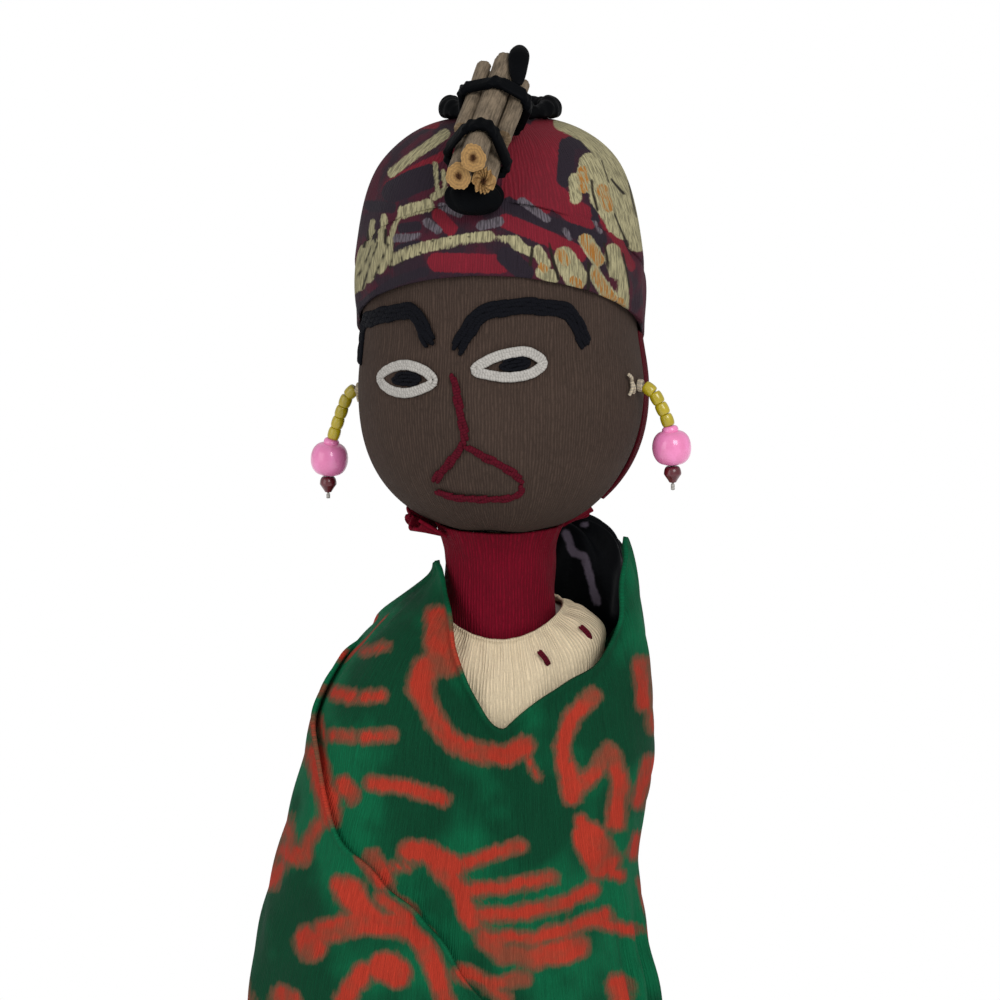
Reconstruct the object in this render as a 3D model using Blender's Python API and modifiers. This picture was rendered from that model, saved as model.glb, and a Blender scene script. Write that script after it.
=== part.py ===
"""A cloth doll about 30 cm tall, carrying a bundle of firewood on its head.

The doll is stuffed cloth on a wooden dowel. Its stockinet head wears a wrapped headcloth, its
features and ears are sewn in thread, and a beaded string hangs from each ear. A printed shawl
is wound round the arms, the dress and a bundle carried on the back.

Lengths are in metres. The doll stands on z = 0, its neck is on the z axis, and it faces -Y.
Places round the body are angles from -Y towards +X, the doll's left.
"""

import math

import bmesh
import bpy
import numpy as np
from mathutils import Matrix, Vector

# Fits
GAP = 0.0003
STITCH_LIFT = 0.0002
THREAD_CLEARANCE = 0.0003
CUT_OVERRUN = 0.002

# Base and dowel
BASE_RADIUS = 0.0525
BASE_THICKNESS = 0.006
BASE_EDGE = 0.0008
SOCKET_FLOOR = 0.003
DOWEL_RADIUS = 0.003
DOWEL_IN_HEAD = 0.023

# Dress
DRESS_WALL = 0.0008
WAIST_HEIGHT = 0.119
WAIST_RADIUS = 0.0175
BODICE_LENGTH = 0.0665
BODICE_HALF_WIDTH = 0.0225
BODICE_FRONT = 0.0198
BODICE_BACK = 0.0195
COLLAR_DIP = 0.0045
COLLAR_ROOM = 0.0017
HEM_ROOM = 0.003
HEM_HEIGHT = 0.001
SKIRT_FOLDS = 8
SKIRT_FOLD_DEPTH = 0.0012
WAIST_TIE_WIDTH = 0.005
WAIST_TIE_THICKNESS = 0.0014

# Rows of the bodice from the collar down, above the waist's: width, front and back as shares of
# the way from the collar's radius to each full size, then side and front heights as shares of
# the way from waist to collar.
BODICE_SHARES = (
    (0.00, 0.00, 0.00, 1.000, 1.000),
    (0.54, 0.20, 0.25, 0.977, 0.944),
    (1.00, 0.53, 0.70, 0.925, 0.871),
    (0.98, 0.79, 0.93, 0.827, 0.774),
    (0.85, 0.93, 1.00, 0.617, 0.629),
    (0.59, 1.00, 0.93, 0.316, 0.339),
)
# Rows of the skirt: radius as a share from waist to hem, height as a share from waist to hem.
SKIRT_SHARES = (
    (0.00, 0.000),
    (0.08, 0.075),
    (0.15, 0.140),
    (0.26, 0.244),
    (0.46, 0.414),
    (0.66, 0.584),
    (0.84, 0.771),
    (1.00, 1.000),
)

# Neck
NECK_RADIUS = 0.01166
NECK_WALL = 0.0005
NECK_WELL_DEPTH = 0.0103
NECK_WELL_ROOM = 0.0009
NECK_LENGTH = 0.0165
NECK_BOTTOM_CLEARANCE = 0.0005
NECK_TOP_CLEARANCE = 0.0007
NECK_FLARE = 0.0021
NECK_FLARE_DROP = 0.0048

# Head
FACE_TURN = math.radians(-17)
HEAD_HEIGHT = 0.0843
CHEEK_RADIUS = 0.0298
CHEEK_SHARE = 0.356
CHEEK_BLEND = 0.015
BROW_RADIUS = 0.0283
CROWN_SHARE = 0.522
CHIN_SQUARENESS = 2.3
CROWN_SQUARENESS = 2.9
FACE_WALL = 0.0006
FACE_OPENING = 0.008
DOWEL_END_ROOM = 0.0005

# Heights and radii that follow from the sizes above
HEM_RADIUS = BASE_RADIUS + HEM_ROOM
COLLAR_RADIUS = NECK_RADIUS + COLLAR_ROOM
COLLAR_SIDE_HEIGHT = WAIST_HEIGHT + BODICE_LENGTH
COLLAR_FRONT_HEIGHT = COLLAR_SIDE_HEIGHT - COLLAR_DIP
NECK_WELL_FLOOR = COLLAR_SIDE_HEIGHT - NECK_WELL_DEPTH
HEAD_BOTTOM = COLLAR_SIDE_HEIGHT + NECK_LENGTH
HEAD_TOP = HEAD_BOTTOM + HEAD_HEIGHT
CHEEK_HEIGHT = HEAD_BOTTOM + CHEEK_SHARE * HEAD_HEIGHT
CROWN_START = HEAD_BOTTOM + CROWN_SHARE * HEAD_HEIGHT
DOWEL_TOP = HEAD_BOTTOM + DOWEL_IN_HEAD

# Shawl
SHAWL_WALL = 0.0009
SHAWL_RISE = 0.0162
SHAWL_TOP = COLLAR_SIDE_HEIGHT + SHAWL_RISE
SHAWL_HEM = 0.048
SHAWL_LEFT = 0.0460
SHAWL_RIGHT = 0.0545
SHAWL_FRONT = 0.0460
SHAWL_BACK = 0.0500
SHAWL_FRONT_SQUARENESS = 2.2
SHAWL_BACK_SQUARENESS = 3.0
SHAWL_FOLD_RISE = 0.0013
SHAWL_FOLD_BLEND = 0.004
SHAWL_PLEAT_RISE = 0.0011
SHAWL_PLEAT_TOP_SHARE = 0.50
SHAWL_COLUMNS = 44
SHAWL_ROWS = 13

# Rows of the shawl from top to hem: height from hem to top, then the reach of the doll's right
# side, its left side, front and back, all as shares of the full sizes.
SHAWL_SHARES = (
    (1.000, 0.235, 0.560, 0.260, 0.890),
    (0.947, 0.246, 0.609, 0.291, 0.920),
    (0.847, 0.495, 0.674, 0.391, 0.970),
    (0.761, 0.679, 0.706, 0.446, 1.000),
    (0.661, 0.752, 0.711, 0.511, 0.990),
    (0.548, 0.835, 0.652, 0.598, 0.950),
    (0.415, 0.932, 0.685, 0.706, 0.900),
    (0.342, 0.972, 0.730, 0.761, 0.880),
    (0.149, 0.991, 0.870, 0.913, 0.940),
    (0.000, 1.000, 1.000, 1.000, 1.000),
)
# The rim: angle in degrees, and height as a share from hem to top.
SHAWL_RIM_SHARES = (
    (-180, 0.800),
    (-140, 0.820),
    (-115, 0.900),
    (-100, 0.945),
    (-90, 0.955),
    (-61, 0.950),
    (-48, 0.930),
    (-36, 0.895),
    (-30, 0.865),
    (-18, 0.807),
    (0, 0.757),
    (18, 0.787),
    (40, 0.818),
    (56, 0.843),
    (68, 0.889),
    (79, 0.964),
    (88, 0.990),
    (97, 0.970),
    (110, 0.900),
    (130, 0.830),
    (180, 0.800),
)
# The edge of the layer wrapped last: angle in degrees, and height as a share from hem to top.
SHAWL_FOLD_SHARES = (
    (-100, 0.80),
    (-75, 0.69),
    (-61, 0.61),
    (-48, 0.563),
    (-31, 0.516),
    (-11, 0.43),
    (8, 0.33),
    (30, 0.0),
)
# The angles over which the edge of that layer fades in and out, and the pleats beside it: the
# middle and half width of each, in degrees.
SHAWL_FOLD_START = -115
SHAWL_FOLD_END = 35
SHAWL_FOLD_FADE = 20
SHAWL_PLEATS = ((48, 5), (60, 4), (71, 4))

# Arms from shoulder to hand: reach to the side and to the front as shares of the shawl's, height
# as a share from the shawl's hem to its top, and radius as a share of the arm's.
RIGHT_ARM_RADIUS = 0.0063
LEFT_ARM_RADIUS = 0.0045
RIGHT_ARM_SHARES = (
    (-0.470, -0.022, 0.804, 0.71),
    (-0.532, -0.011, 0.752, 0.86),
    (-0.646, 0.022, 0.605, 0.98),
    (-0.756, 0.087, 0.449, 1.00),
    (-0.532, 0.391, 0.390, 0.86),
    (-0.239, 0.591, 0.371, 0.68),
)
LEFT_ARM_SHARES = (
    (0.557, -0.022, 0.797, 0.96),
    (0.574, 0.000, 0.729, 1.00),
    (0.548, 0.065, 0.612, 1.00),
    (0.504, 0.152, 0.501, 0.91),
    (0.359, 0.424, 0.449, 0.91),
    (0.109, 0.583, 0.410, 0.89),
)
SHOULDER_SHARE = 0.7

# Bundle carried on the back, in two rounded pieces: the upper one's place to the side, to the
# back and in height as shares of the shawl's sizes, and half the size of each.
BACK_BUNDLE_SHARES = (0.215, 0.644, 0.865)
BACK_BUNDLE_HALF = (0.0150, 0.0104, 0.0165)
BACK_BUNDLE_SQUARENESS = 2.8
BACK_BODY_HALF = (0.0178, 0.0108, 0.0250)
BACK_BODY_SQUARENESS = 2.3
BACK_BODY_SHIFT = -0.0036

# Headwrap: a plain crown, and a band round its edge that is higher over the forehead
WRAP_WALL = 0.0010
WRAP_FULLNESS = 0.0019
WRAP_TOP_ROOM = 0.0017
WRAP_RADIUS = BROW_RADIUS + WRAP_FULLNESS
WRAP_TOP = HEAD_TOP + WRAP_TOP_ROOM
WRAP_HIGH_SIDE = math.radians(-5)
# The band's lower and upper edge: the mean rise above the chin and how far it swings up and down
# from that, as shares of the head's height
BAND_LOW_SHARES = (0.503, 0.172)
BAND_HIGH_SHARES = (0.657, 0.2005)

# Hood over the back of the head, and its gathered edge behind the neck
HOOD_WALL = 0.0006
HOOD_RISE = 0.007
HOOD_START = math.radians(84)
HOOD_END = math.radians(249)
FRILL_START = math.radians(100)
FRILL_END = math.radians(305)
FRILL_WALL = 0.0009
FRILL_WAVES = 9
FRILL_WAVE = 0.0007
FRILL_ROOM = 0.0016
FRILL_WIDTH = 0.0062
FRILL_INNER_RISE = 0.0002
FRILL_OUTER_RISE = 0.0029

# Ring pad on the crown, and the cushion under the front of the firewood
RING_RADIUS = 0.0104
RING_THICK_RADIUS = 0.0022
RING_THIN_RADIUS = 0.0012
RING_SET_BACK = 0.0018
PAD_SIDE = -0.0050
PAD_INSET = 0.0010
PAD_DROP = 0.0137
PAD_HALF = (0.0056, 0.0030, 0.0034)
PAD_SQUARENESS = 2.2

# Firewood: how far it hangs over the wrap's front and below its top, and for each stick its
# offset across the bundle and its radius as shares of the stick radius, and where it starts and
# ends as shares of the stick length.
BUNDLE_SIDE = -0.0058
BUNDLE_OVERHANG = 0.0079
BUNDLE_DROP = 0.0077
BUNDLE_RISE = math.radians(32)
BUNDLE_TURN = math.radians(-13.9)
STICK_RADIUS = 0.0024
STICK_LENGTH = 0.0312
STICK_CUT = math.radians(24)
STICK_SHARES = (
    (-1.04, -0.62, 0.000, 1.000, 1.00),
    (0.38, 1.08, 0.013, 1.020, 1.02),
    (1.00, -1.04, 0.006, 0.960, 0.96),
    (2.05, 0.38, 0.282, 0.860, 0.66),
    (-1.35, 1.10, 0.295, 0.974, 0.58),
)
TIE_WIDTH = 0.0028
TIE_THICKNESS = 0.0015
FRONT_TIE_SHARE = 0.205
REAR_TIE_SHARE = 0.647
# The rear tie's free end: across, along and up as shares of stick radius, length and radius
TIE_TAIL_SHARES = (
    (2.30, 0.702, 1.75, 0.38),
    (1.92, 0.865, 2.00, 0.60),
    (1.72, 0.985, 2.22, 0.66),
    (1.45, 1.100, 2.02, 0.40),
)

# Embroidery: width and height of each sewn line, and its places as an angle from the middle of
# the face in degrees and a share of the head's height
BROW_WIDTH = 0.0024
EYE_WIDTH = 0.0014
PUPIL_WIDTH = 0.0020
NOSE_WIDTH = 0.0017
BLOUSE_STITCH_WIDTH = 0.0009
STITCH_HEIGHT = 0.0007
LEFT_BROW_SHARES = (
    (-1, 0.498), (4, 0.541), (10, 0.586), (24, 0.603), (37, 0.597), (46, 0.579), (53.5, 0.504),
)
RIGHT_BROW_SHARES = (
    (-60, 0.428), (-59, 0.52), (-46, 0.550), (-28, 0.576), (-19, 0.577), (-11.5, 0.506),
)
LEFT_EYE_SHARES = (
    (7, 0.453), (13, 0.479), (20, 0.493), (28, 0.496), (34, 0.470), (29.5, 0.446), (21, 0.437),
    (13, 0.442),
)
RIGHT_EYE_SHARES = (
    (-9.5, 0.423), (-14, 0.445), (-23, 0.453), (-32, 0.437), (-37, 0.412), (-31, 0.392),
    (-22, 0.389), (-14, 0.404),
)
LEFT_PUPIL_SHARES = ((17, 0.464), (23, 0.469), (28.5, 0.471))
RIGHT_PUPIL_SHARES = ((-29.5, 0.416), (-22, 0.422), (-15.5, 0.422))
NOSE_SHARES = ((-1, 0.442), (0.3, 0.402), (1.6, 0.360), (3.4, 0.300))
MOUTH_SHARES = (
    (3.6, 0.279), (-3.4, 0.234), (-12.4, 0.180), (-11.5, 0.143), (-6, 0.131), (5, 0.129),
    (17, 0.140), (25.5, 0.162), (24.5, 0.196), (15, 0.236), (8, 0.262),
)
# Two small stitches on the blouse: angle in degrees, share of the way from waist to collar
FRONT_STITCH_SHARES = ((29, 0.972), (34, 0.932))
SIDE_STITCH_SHARES = ((64, 0.970), (65, 0.932))
# The longest run of a sewn line between two points, and how far its surface is felt around each
STITCH_TURN = 7
STITCH_SHARE = 0.045
PROBE_TURN = math.radians(1)
PROBE_SHARE = 0.004

# Earrings: the ear's angle and its place up the head as a share of its height, and the beaded
# string's route outwards and up from it
LEFT_EAR_ANGLE = math.radians(70)
LEFT_EAR_SHARE = 0.381
RIGHT_EAR_ANGLE = math.radians(-104)
RIGHT_EAR_SHARE = 0.338
LEFT_ROUTE = (
    (0.0000, 0.0000), (0.0010, 0.0000), (0.0029, -0.0008), (0.0046, -0.0034), (0.0063, -0.0068),
    (0.0071, -0.0096), (0.0073, -0.0122), (0.0075, -0.0160), (0.0077, -0.0220),
)
RIGHT_ROUTE = (
    (0.0000, 0.0000), (0.0012, 0.0000), (0.0028, -0.0012), (0.0040, -0.0038), (0.0054, -0.0076),
    (0.0066, -0.0112), (0.0073, -0.0140), (0.0076, -0.0180), (0.0077, -0.0240),
)
EAR_KNOT_RADIUS = 0.0013
EAR_KNOT_LENGTH = 0.0010
THREAD_RADIUS = 0.00025
THREAD_KNOT_RADIUS = 0.0006
THREAD_END = 0.0014
FIRST_BEAD_START = 0.0016
BEAD_SPACING = 0.0003
SEED_RADIUS = 0.00135
SEED_LENGTH = 0.0022
LEFT_SEEDS = 4
RIGHT_SEEDS = 5
COLLAR_BEAD_RADIUS = 0.0017
COLLAR_BEAD_LENGTH = 0.0014
PINK_BEAD_RADIUS = 0.0040
PINK_BEAD_LENGTH = 0.0060
TIP_RADIUS = 0.0018
TIP_END_RADIUS = 0.0008
TIP_LENGTH = 0.0034

# How finely round pieces are divided
BASE_SIDES = 32
ROUND_SIDES = 24
DOWEL_SIDES = 16
STICK_SIDES = 14
SMALL_SIDES = 10
HEAD_ROWS = 9
BEAD_ROWS = 5
THREAD_POINTS = 26
ARM_POINTS = 12
SHARP_ANGLE = math.radians(40)

COLOURS = {
    "wood": (0.55, 0.38, 0.22, 0.7),
    "stuffing": (0.80, 0.76, 0.68, 0.95),
    "cream_cloth": (0.78, 0.64, 0.43, 0.9),
    "green_cloth": (0.01, 0.12, 0.06, 0.8),
    "crimson_cloth": (0.17, 0.004, 0.02, 0.85),
    "brown_cloth": (0.07, 0.045, 0.035, 0.85),
    "print_cloth": (0.19, 0.02, 0.03, 0.8),
    "black_cloth": (0.004, 0.005, 0.007, 0.6),
    "bark": (0.26, 0.20, 0.14, 0.85),
    "black_thread": (0.006, 0.007, 0.014, 0.7),
    "pale_thread": (0.62, 0.60, 0.56, 0.7),
    "red_thread": (0.16, 0.01, 0.02, 0.7),
    "yellow_bead": (0.52, 0.40, 0.01, 0.3),
    "pink_bead": (0.80, 0.20, 0.42, 0.2),
    "dark_bead": (0.10, 0.01, 0.02, 0.3),
}
MATERIALS = {}


def clear_scene():
    for obj in list(bpy.data.objects):
        bpy.data.objects.remove(obj)


def collection(name):
    found = bpy.data.collections.new(name)
    bpy.context.scene.collection.children.link(found)
    return found


def material(finish):
    """A Principled material in one of the doll's finishes."""
    if finish not in MATERIALS:
        red, green, blue, roughness = COLOURS[finish]
        made = bpy.data.materials.new(finish)
        made.use_nodes = True
        shader = made.node_tree.nodes["Principled BSDF"]
        shader.inputs["Base Color"].default_value = (red, green, blue, 1)
        shader.inputs["Roughness"].default_value = roughness
        shader.inputs["Metallic"].default_value = 0
        made.diffuse_color = (red, green, blue, 1)
        MATERIALS[finish] = made
    return MATERIALS[finish]


def add(name, data, finish, parent=None, matrix=None):
    """Puts data in the scene as one of the doll's pieces, placed by matrix under its parent."""
    obj = bpy.data.objects.new(name, data)
    DOLL.objects.link(obj)
    data.materials.append(material(finish))
    if parent:
        obj.parent = parent
        if matrix is None:
            obj.matrix_parent_inverse = parent.matrix_world.inverted()
    if matrix is not None:
        obj.matrix_local = matrix
    if obj.type == "MESH":
        data.shade_smooth()
        data.set_sharp_from_angle(angle=SHARP_ANGLE)
    return obj


def pivot(name, matrix, parent=None):
    """An empty on a joint's axis, or at the middle of a group of pieces."""
    obj = bpy.data.objects.new(name, None)
    DOLL.objects.link(obj)
    obj.matrix_world = matrix
    if parent:
        obj.parent = parent
        obj.matrix_parent_inverse = parent.matrix_world.inverted()
    bpy.context.view_layer.update()
    return obj


def wall(obj, thickness):
    """Gives an open surface its cloth thickness, inwards."""
    solid = obj.modifiers.new("wall", "SOLIDIFY")
    solid.thickness = thickness
    solid.offset = -1
    solid.use_even_offset = True


def grid_mesh(name, rows, closed=True, top=None, bottom=None):
    """A mesh of quads through rows of points that run from the top down and towards +X at the
    front, closed round the rows where asked, with a fan to a point above or below them."""
    count, across = rows.shape[:2]
    points = [tuple(p) for p in rows.reshape(-1, 3)]
    faces = []
    last = across if closed else across - 1
    for row in range(count - 1):
        for column in range(last):
            here, beside = row * across + column, row * across + (column + 1) % across
            faces.append((here, here + across, beside + across, beside))
    if top is not None:
        points.append(tuple(top))
        faces += [(len(points) - 1, c, (c + 1) % across) for c in range(across)]
    if bottom is not None:
        points.append(tuple(bottom))
        low = (count - 1) * across
        faces += [(len(points) - 1, low + (c + 1) % across, low + c) for c in range(across)]
    mesh = bpy.data.meshes.new(name)
    mesh.from_pydata(points, [], faces)
    mesh.validate()
    return mesh


def looped_mesh(name, rows, loop=True, capped=False):
    """A closed mesh through rings of points, each ring closed, and the rings too where asked."""
    shape = bmesh.new()
    rings = [[shape.verts.new(point) for point in row] for row in rows]
    for i, ring in enumerate(rings if loop else rings[:-1]):
        after = rings[(i + 1) % len(rings)]
        for c, corner in enumerate(ring):
            d = (c + 1) % len(ring)
            shape.faces.new((corner, ring[d], after[d], after[c]))
    if capped:
        shape.faces.new(rings[0])
        shape.faces.new(rings[-1])
    bmesh.ops.recalc_face_normals(shape, faces=shape.faces)
    mesh = bpy.data.meshes.new(name)
    shape.to_mesh(mesh)
    shape.free()
    return mesh


def turned(name, profile, finish, steps, thickness=None, closed=False, parent=None, matrix=None):
    """A profile of radius and height, top to bottom on its outer side, turned about the z axis."""
    mesh = bpy.data.meshes.new(name)
    count = len(profile)
    edges = [(i, i + 1) for i in range(count - 1)] + ([(count - 1, 0)] if closed else [])
    mesh.from_pydata([(r, 0, z) for r, z in profile], edges, [])
    obj = add(name, mesh, finish, parent, matrix)
    screw = obj.modifiers.new("turn", "SCREW")
    screw.steps = screw.render_steps = steps
    screw.use_merge_vertices = True
    screw.merge_threshold = 0.00001
    screw.use_smooth_shade = True
    if thickness:
        wall(obj, thickness)
    return obj


def smooth_route(points, count):
    """Evenly spaced places along a smooth curve through the points, which may carry a radius."""
    given = np.array(points, float)
    slopes = np.gradient(given, axis=0)
    share = np.linspace(0, 1, 16, endpoint=False)[:, None]
    bends = [
        (2 * share**3 - 3 * share**2 + 1) * given[i]
        + (share**3 - 2 * share**2 + share) * slopes[i]
        + (3 * share**2 - 2 * share**3) * given[i + 1]
        + (share**3 - share**2) * slopes[i + 1]
        for i in range(len(given) - 1)
    ]
    fine = np.vstack(bends + [given[-1:]])
    along = np.concatenate([[0], np.cumsum(np.linalg.norm(np.diff(fine, axis=0), axis=1))])
    places = np.linspace(0, along[-1], count)
    return np.stack([np.interp(places, along, fine[:, i]) for i in range(fine.shape[1])], axis=1)


def tube(name, route, finish, parent=None, matrix=None, resolution=2):
    """A curve through rows of x, y, z and radius, with filled ends."""
    curve = bpy.data.curves.new(name, "CURVE")
    curve.dimensions = "3D"
    curve.bevel_depth = float(route[:, 3].max())
    curve.bevel_resolution = resolution
    curve.use_fill_caps = True
    spline = curve.splines.new("POLY")
    spline.points.add(len(route) - 1)
    spline.points.foreach_set("co", np.column_stack([route[:, :3], np.ones(len(route))]).ravel())
    spline.points.foreach_set("radius", route[:, 3] / curve.bevel_depth)
    return add(name, curve, finish, parent, matrix)


def direction(angle):
    """The level direction at an angle from -Y towards +X, for one angle or an array."""
    return np.stack([np.sin(angle), -np.cos(angle), np.zeros_like(angle)], axis=-1)


def around(count):
    return np.linspace(0, 2 * math.pi, count, endpoint=False)


def rounded_solid(name, place, half, squareness, finish, parent=None):
    """A stuffed shape: a sphere whose rings and outline are squared off."""
    levels = np.linspace(0, math.pi, 11)[1:-1]
    power = 2 / squareness
    ring = np.sin(levels) ** power
    height = np.sign(np.cos(levels)) * np.abs(np.cos(levels)) ** power
    turn = around(20)
    x = np.sign(np.sin(turn)) * np.abs(np.sin(turn)) ** power
    y = -np.sign(np.cos(turn)) * np.abs(np.cos(turn)) ** power
    rows = np.stack([np.outer(ring, x), np.outer(ring, y), np.outer(height, np.ones(len(turn)))], -1)
    rows = rows * half + place
    top = np.array(place) + (0, 0, half[2])
    bottom = np.array(place) - (0, 0, half[2])
    return add(name, grid_mesh(name, rows, top=top, bottom=bottom), finish, parent)


def offset_rows(rows, distance):
    """The rows of a closed sheet moved inwards along its normals."""
    down = np.gradient(rows, axis=0)
    beside = np.roll(rows, -1, axis=1) - np.roll(rows, 1, axis=1)
    normal = np.cross(down, beside)
    return rows - distance * normal / np.linalg.norm(normal, axis=-1, keepdims=True)


def bodice_rows():
    """The bodice's outer surface: ellipse-like rings from the collar down to the waist."""
    turn = around(ROUND_SIDES)
    side, front = np.sin(turn), np.cos(turn)
    rows = []
    for width, fore, aft, side_share, front_share in BODICE_SHARES:
        a = COLLAR_RADIUS + width * (BODICE_HALF_WIDTH - COLLAR_RADIUS)
        b = COLLAR_RADIUS + fore * (BODICE_FRONT - COLLAR_RADIUS)
        c = COLLAR_RADIUS + aft * (BODICE_BACK - COLLAR_RADIUS)
        depth = np.where(front > 0, b, c)
        radius = 1 / np.sqrt((side / a) ** 2 + (front / depth) ** 2)
        side_height = WAIST_HEIGHT + side_share * (COLLAR_SIDE_HEIGHT - WAIST_HEIGHT)
        front_height = WAIST_HEIGHT + front_share * (COLLAR_FRONT_HEIGHT - WAIST_HEIGHT)
        height = side_height + (front_height - side_height) * np.where(front > 0, front**2, 0)
        rows.append(direction(turn) * radius[:, None] + np.outer(height, (0, 0, 1)))
    rows.append(direction(turn) * WAIST_RADIUS + (0, 0, WAIST_HEIGHT))
    return np.array(rows)


def skirt_rows():
    """The skirt's outer surface: rings that widen to the hem, with folds that deepen downwards."""
    turn = around(SKIRT_FOLDS * 5)
    rows = []
    for radius_share, height_share in SKIRT_SHARES:
        radius = WAIST_RADIUS + radius_share * (HEM_RADIUS - WAIST_RADIUS)
        height = WAIST_HEIGHT - GAP + height_share * (HEM_HEIGHT - WAIST_HEIGHT + GAP)
        fold = SKIRT_FOLD_DEPTH * height_share * (1 - np.cos(SKIRT_FOLDS * turn)) / 2
        rows.append(direction(turn) * (radius - fold)[:, None] + (0, 0, height))
    return np.array(rows)


def base_and_dowel():
    socket = DOWEL_RADIUS + GAP
    turned(
        "base_disc",
        (
            (0, SOCKET_FLOOR),
            (socket, SOCKET_FLOOR),
            (socket, BASE_THICKNESS),
            (BASE_RADIUS - BASE_EDGE, BASE_THICKNESS),
            (BASE_RADIUS, BASE_THICKNESS - BASE_EDGE),
            (BASE_RADIUS, BASE_EDGE),
            (BASE_RADIUS - BASE_EDGE, 0),
            (0, 0),
        ),
        "wood",
        BASE_SIDES,
    )
    bottom = SOCKET_FLOOR + GAP
    profile = ((0, DOWEL_TOP), (DOWEL_RADIUS, DOWEL_TOP), (DOWEL_RADIUS, bottom), (0, bottom))
    turned("spine_dowel", profile, "wood", DOWEL_SIDES)


def body_stuffing():
    """The stuffed body: it fills the dress, with a well for the neck and a bore for the dowel."""
    inset = DRESS_WALL + GAP
    chest = offset_rows(bodice_rows(), inset)
    turn = around(ROUND_SIDES)
    rows = []
    for radius_share, height_share in SKIRT_SHARES[1:-1]:
        radius = WAIST_RADIUS + radius_share * (HEM_RADIUS - WAIST_RADIUS)
        height = WAIST_HEIGHT + height_share * (HEM_HEIGHT - WAIST_HEIGHT)
        slack = inset * 2 + SKIRT_FOLD_DEPTH * height_share
        rows.append(direction(turn) * (radius - slack) + (0, 0, height))
    floor = BASE_THICKNESS + GAP
    foot = direction(turn) * (BASE_RADIUS - inset * 3) + (0, 0, floor)
    well = direction(turn) * (NECK_RADIUS + NECK_WELL_ROOM) + (0, 0, NECK_WELL_FLOOR)
    rows = np.vstack([well[None], chest, rows, foot[None]])
    mesh = grid_mesh("body_stuffing", rows, top=(0, 0, NECK_WELL_FLOOR), bottom=(0, 0, floor))
    obj = add("body_stuffing", mesh, "stuffing")
    half = (NECK_WELL_FLOOR - floor) / 2 + CUT_OVERRUN
    cutter = bpy.data.meshes.new("dowel_bore")
    shape = bmesh.new()
    bmesh.ops.create_cone(
        shape,
        cap_ends=True,
        segments=DOWEL_SIDES,
        radius1=DOWEL_RADIUS + GAP,
        radius2=DOWEL_RADIUS + GAP,
        depth=2 * half,
    )
    shape.to_mesh(cutter)
    shape.free()
    bore = bpy.data.objects.new("dowel_bore", cutter)
    CUTTERS.objects.link(bore)
    bore.location.z = (NECK_WELL_FLOOR + floor) / 2
    bore.hide_render = True
    bore.display_type = "WIRE"
    cut = obj.modifiers.new("bore", "BOOLEAN")
    cut.object = bore


def dress():
    bodice = add("dress_bodice", grid_mesh("dress_bodice", bodice_rows()), "cream_cloth")
    wall(bodice, DRESS_WALL)
    skirt = add("dress_skirt", grid_mesh("dress_skirt", skirt_rows()), "cream_cloth")
    wall(skirt, DRESS_WALL)
    inner = WAIST_RADIUS + GAP * 3
    outer = inner + WAIST_TIE_THICKNESS
    half, edge = WAIST_TIE_WIDTH / 2, WAIST_TIE_THICKNESS / 3
    middle = WAIST_HEIGHT + half
    profile = (
        (inner, middle + half - edge),
        (inner + edge, middle + half),
        (outer - edge, middle + half),
        (outer, middle + half - edge),
        (outer, middle - half + edge),
        (outer - edge, middle - half),
        (inner + edge, middle - half),
        (inner, middle - half + edge),
    )
    turned("waist_tie", profile, "cream_cloth", ROUND_SIDES, closed=True)


def arms():
    height = SHAWL_TOP - SHAWL_HEM
    for name, shares, side, radius in (
        ("right_arm", RIGHT_ARM_SHARES, SHAWL_RIGHT, RIGHT_ARM_RADIUS),
        ("left_arm", LEFT_ARM_SHARES, SHAWL_LEFT, LEFT_ARM_RADIUS),
    ):
        places = np.array(shares) * (side, -SHAWL_FRONT, height, radius) + (0, 0, SHAWL_HEM, 0)
        route = smooth_route(places, ARM_POINTS)
        route[[0, -1], 3] *= SHOULDER_SHARE
        tube(name, route, "cream_cloth", resolution=3)


def back_bundle():
    """The rounded bundle behind the neck, and the longer one under it, inside the shawl."""
    side, back, up = BACK_BUNDLE_SHARES
    x, y, z = side * SHAWL_LEFT, back * SHAWL_BACK, SHAWL_HEM + up * (SHAWL_TOP - SHAWL_HEM)
    upper = (x, y, z), BACK_BUNDLE_HALF, BACK_BUNDLE_SQUARENESS
    below = z - BACK_BUNDLE_HALF[2] - GAP - BACK_BODY_HALF[2]
    lower = (x + BACK_BODY_SHIFT, y, below), BACK_BODY_HALF, BACK_BODY_SQUARENESS
    rounded_solid("back_bundle", *upper, "black_cloth")
    rounded_solid("back_bundle_body", *lower, "black_cloth")


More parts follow.
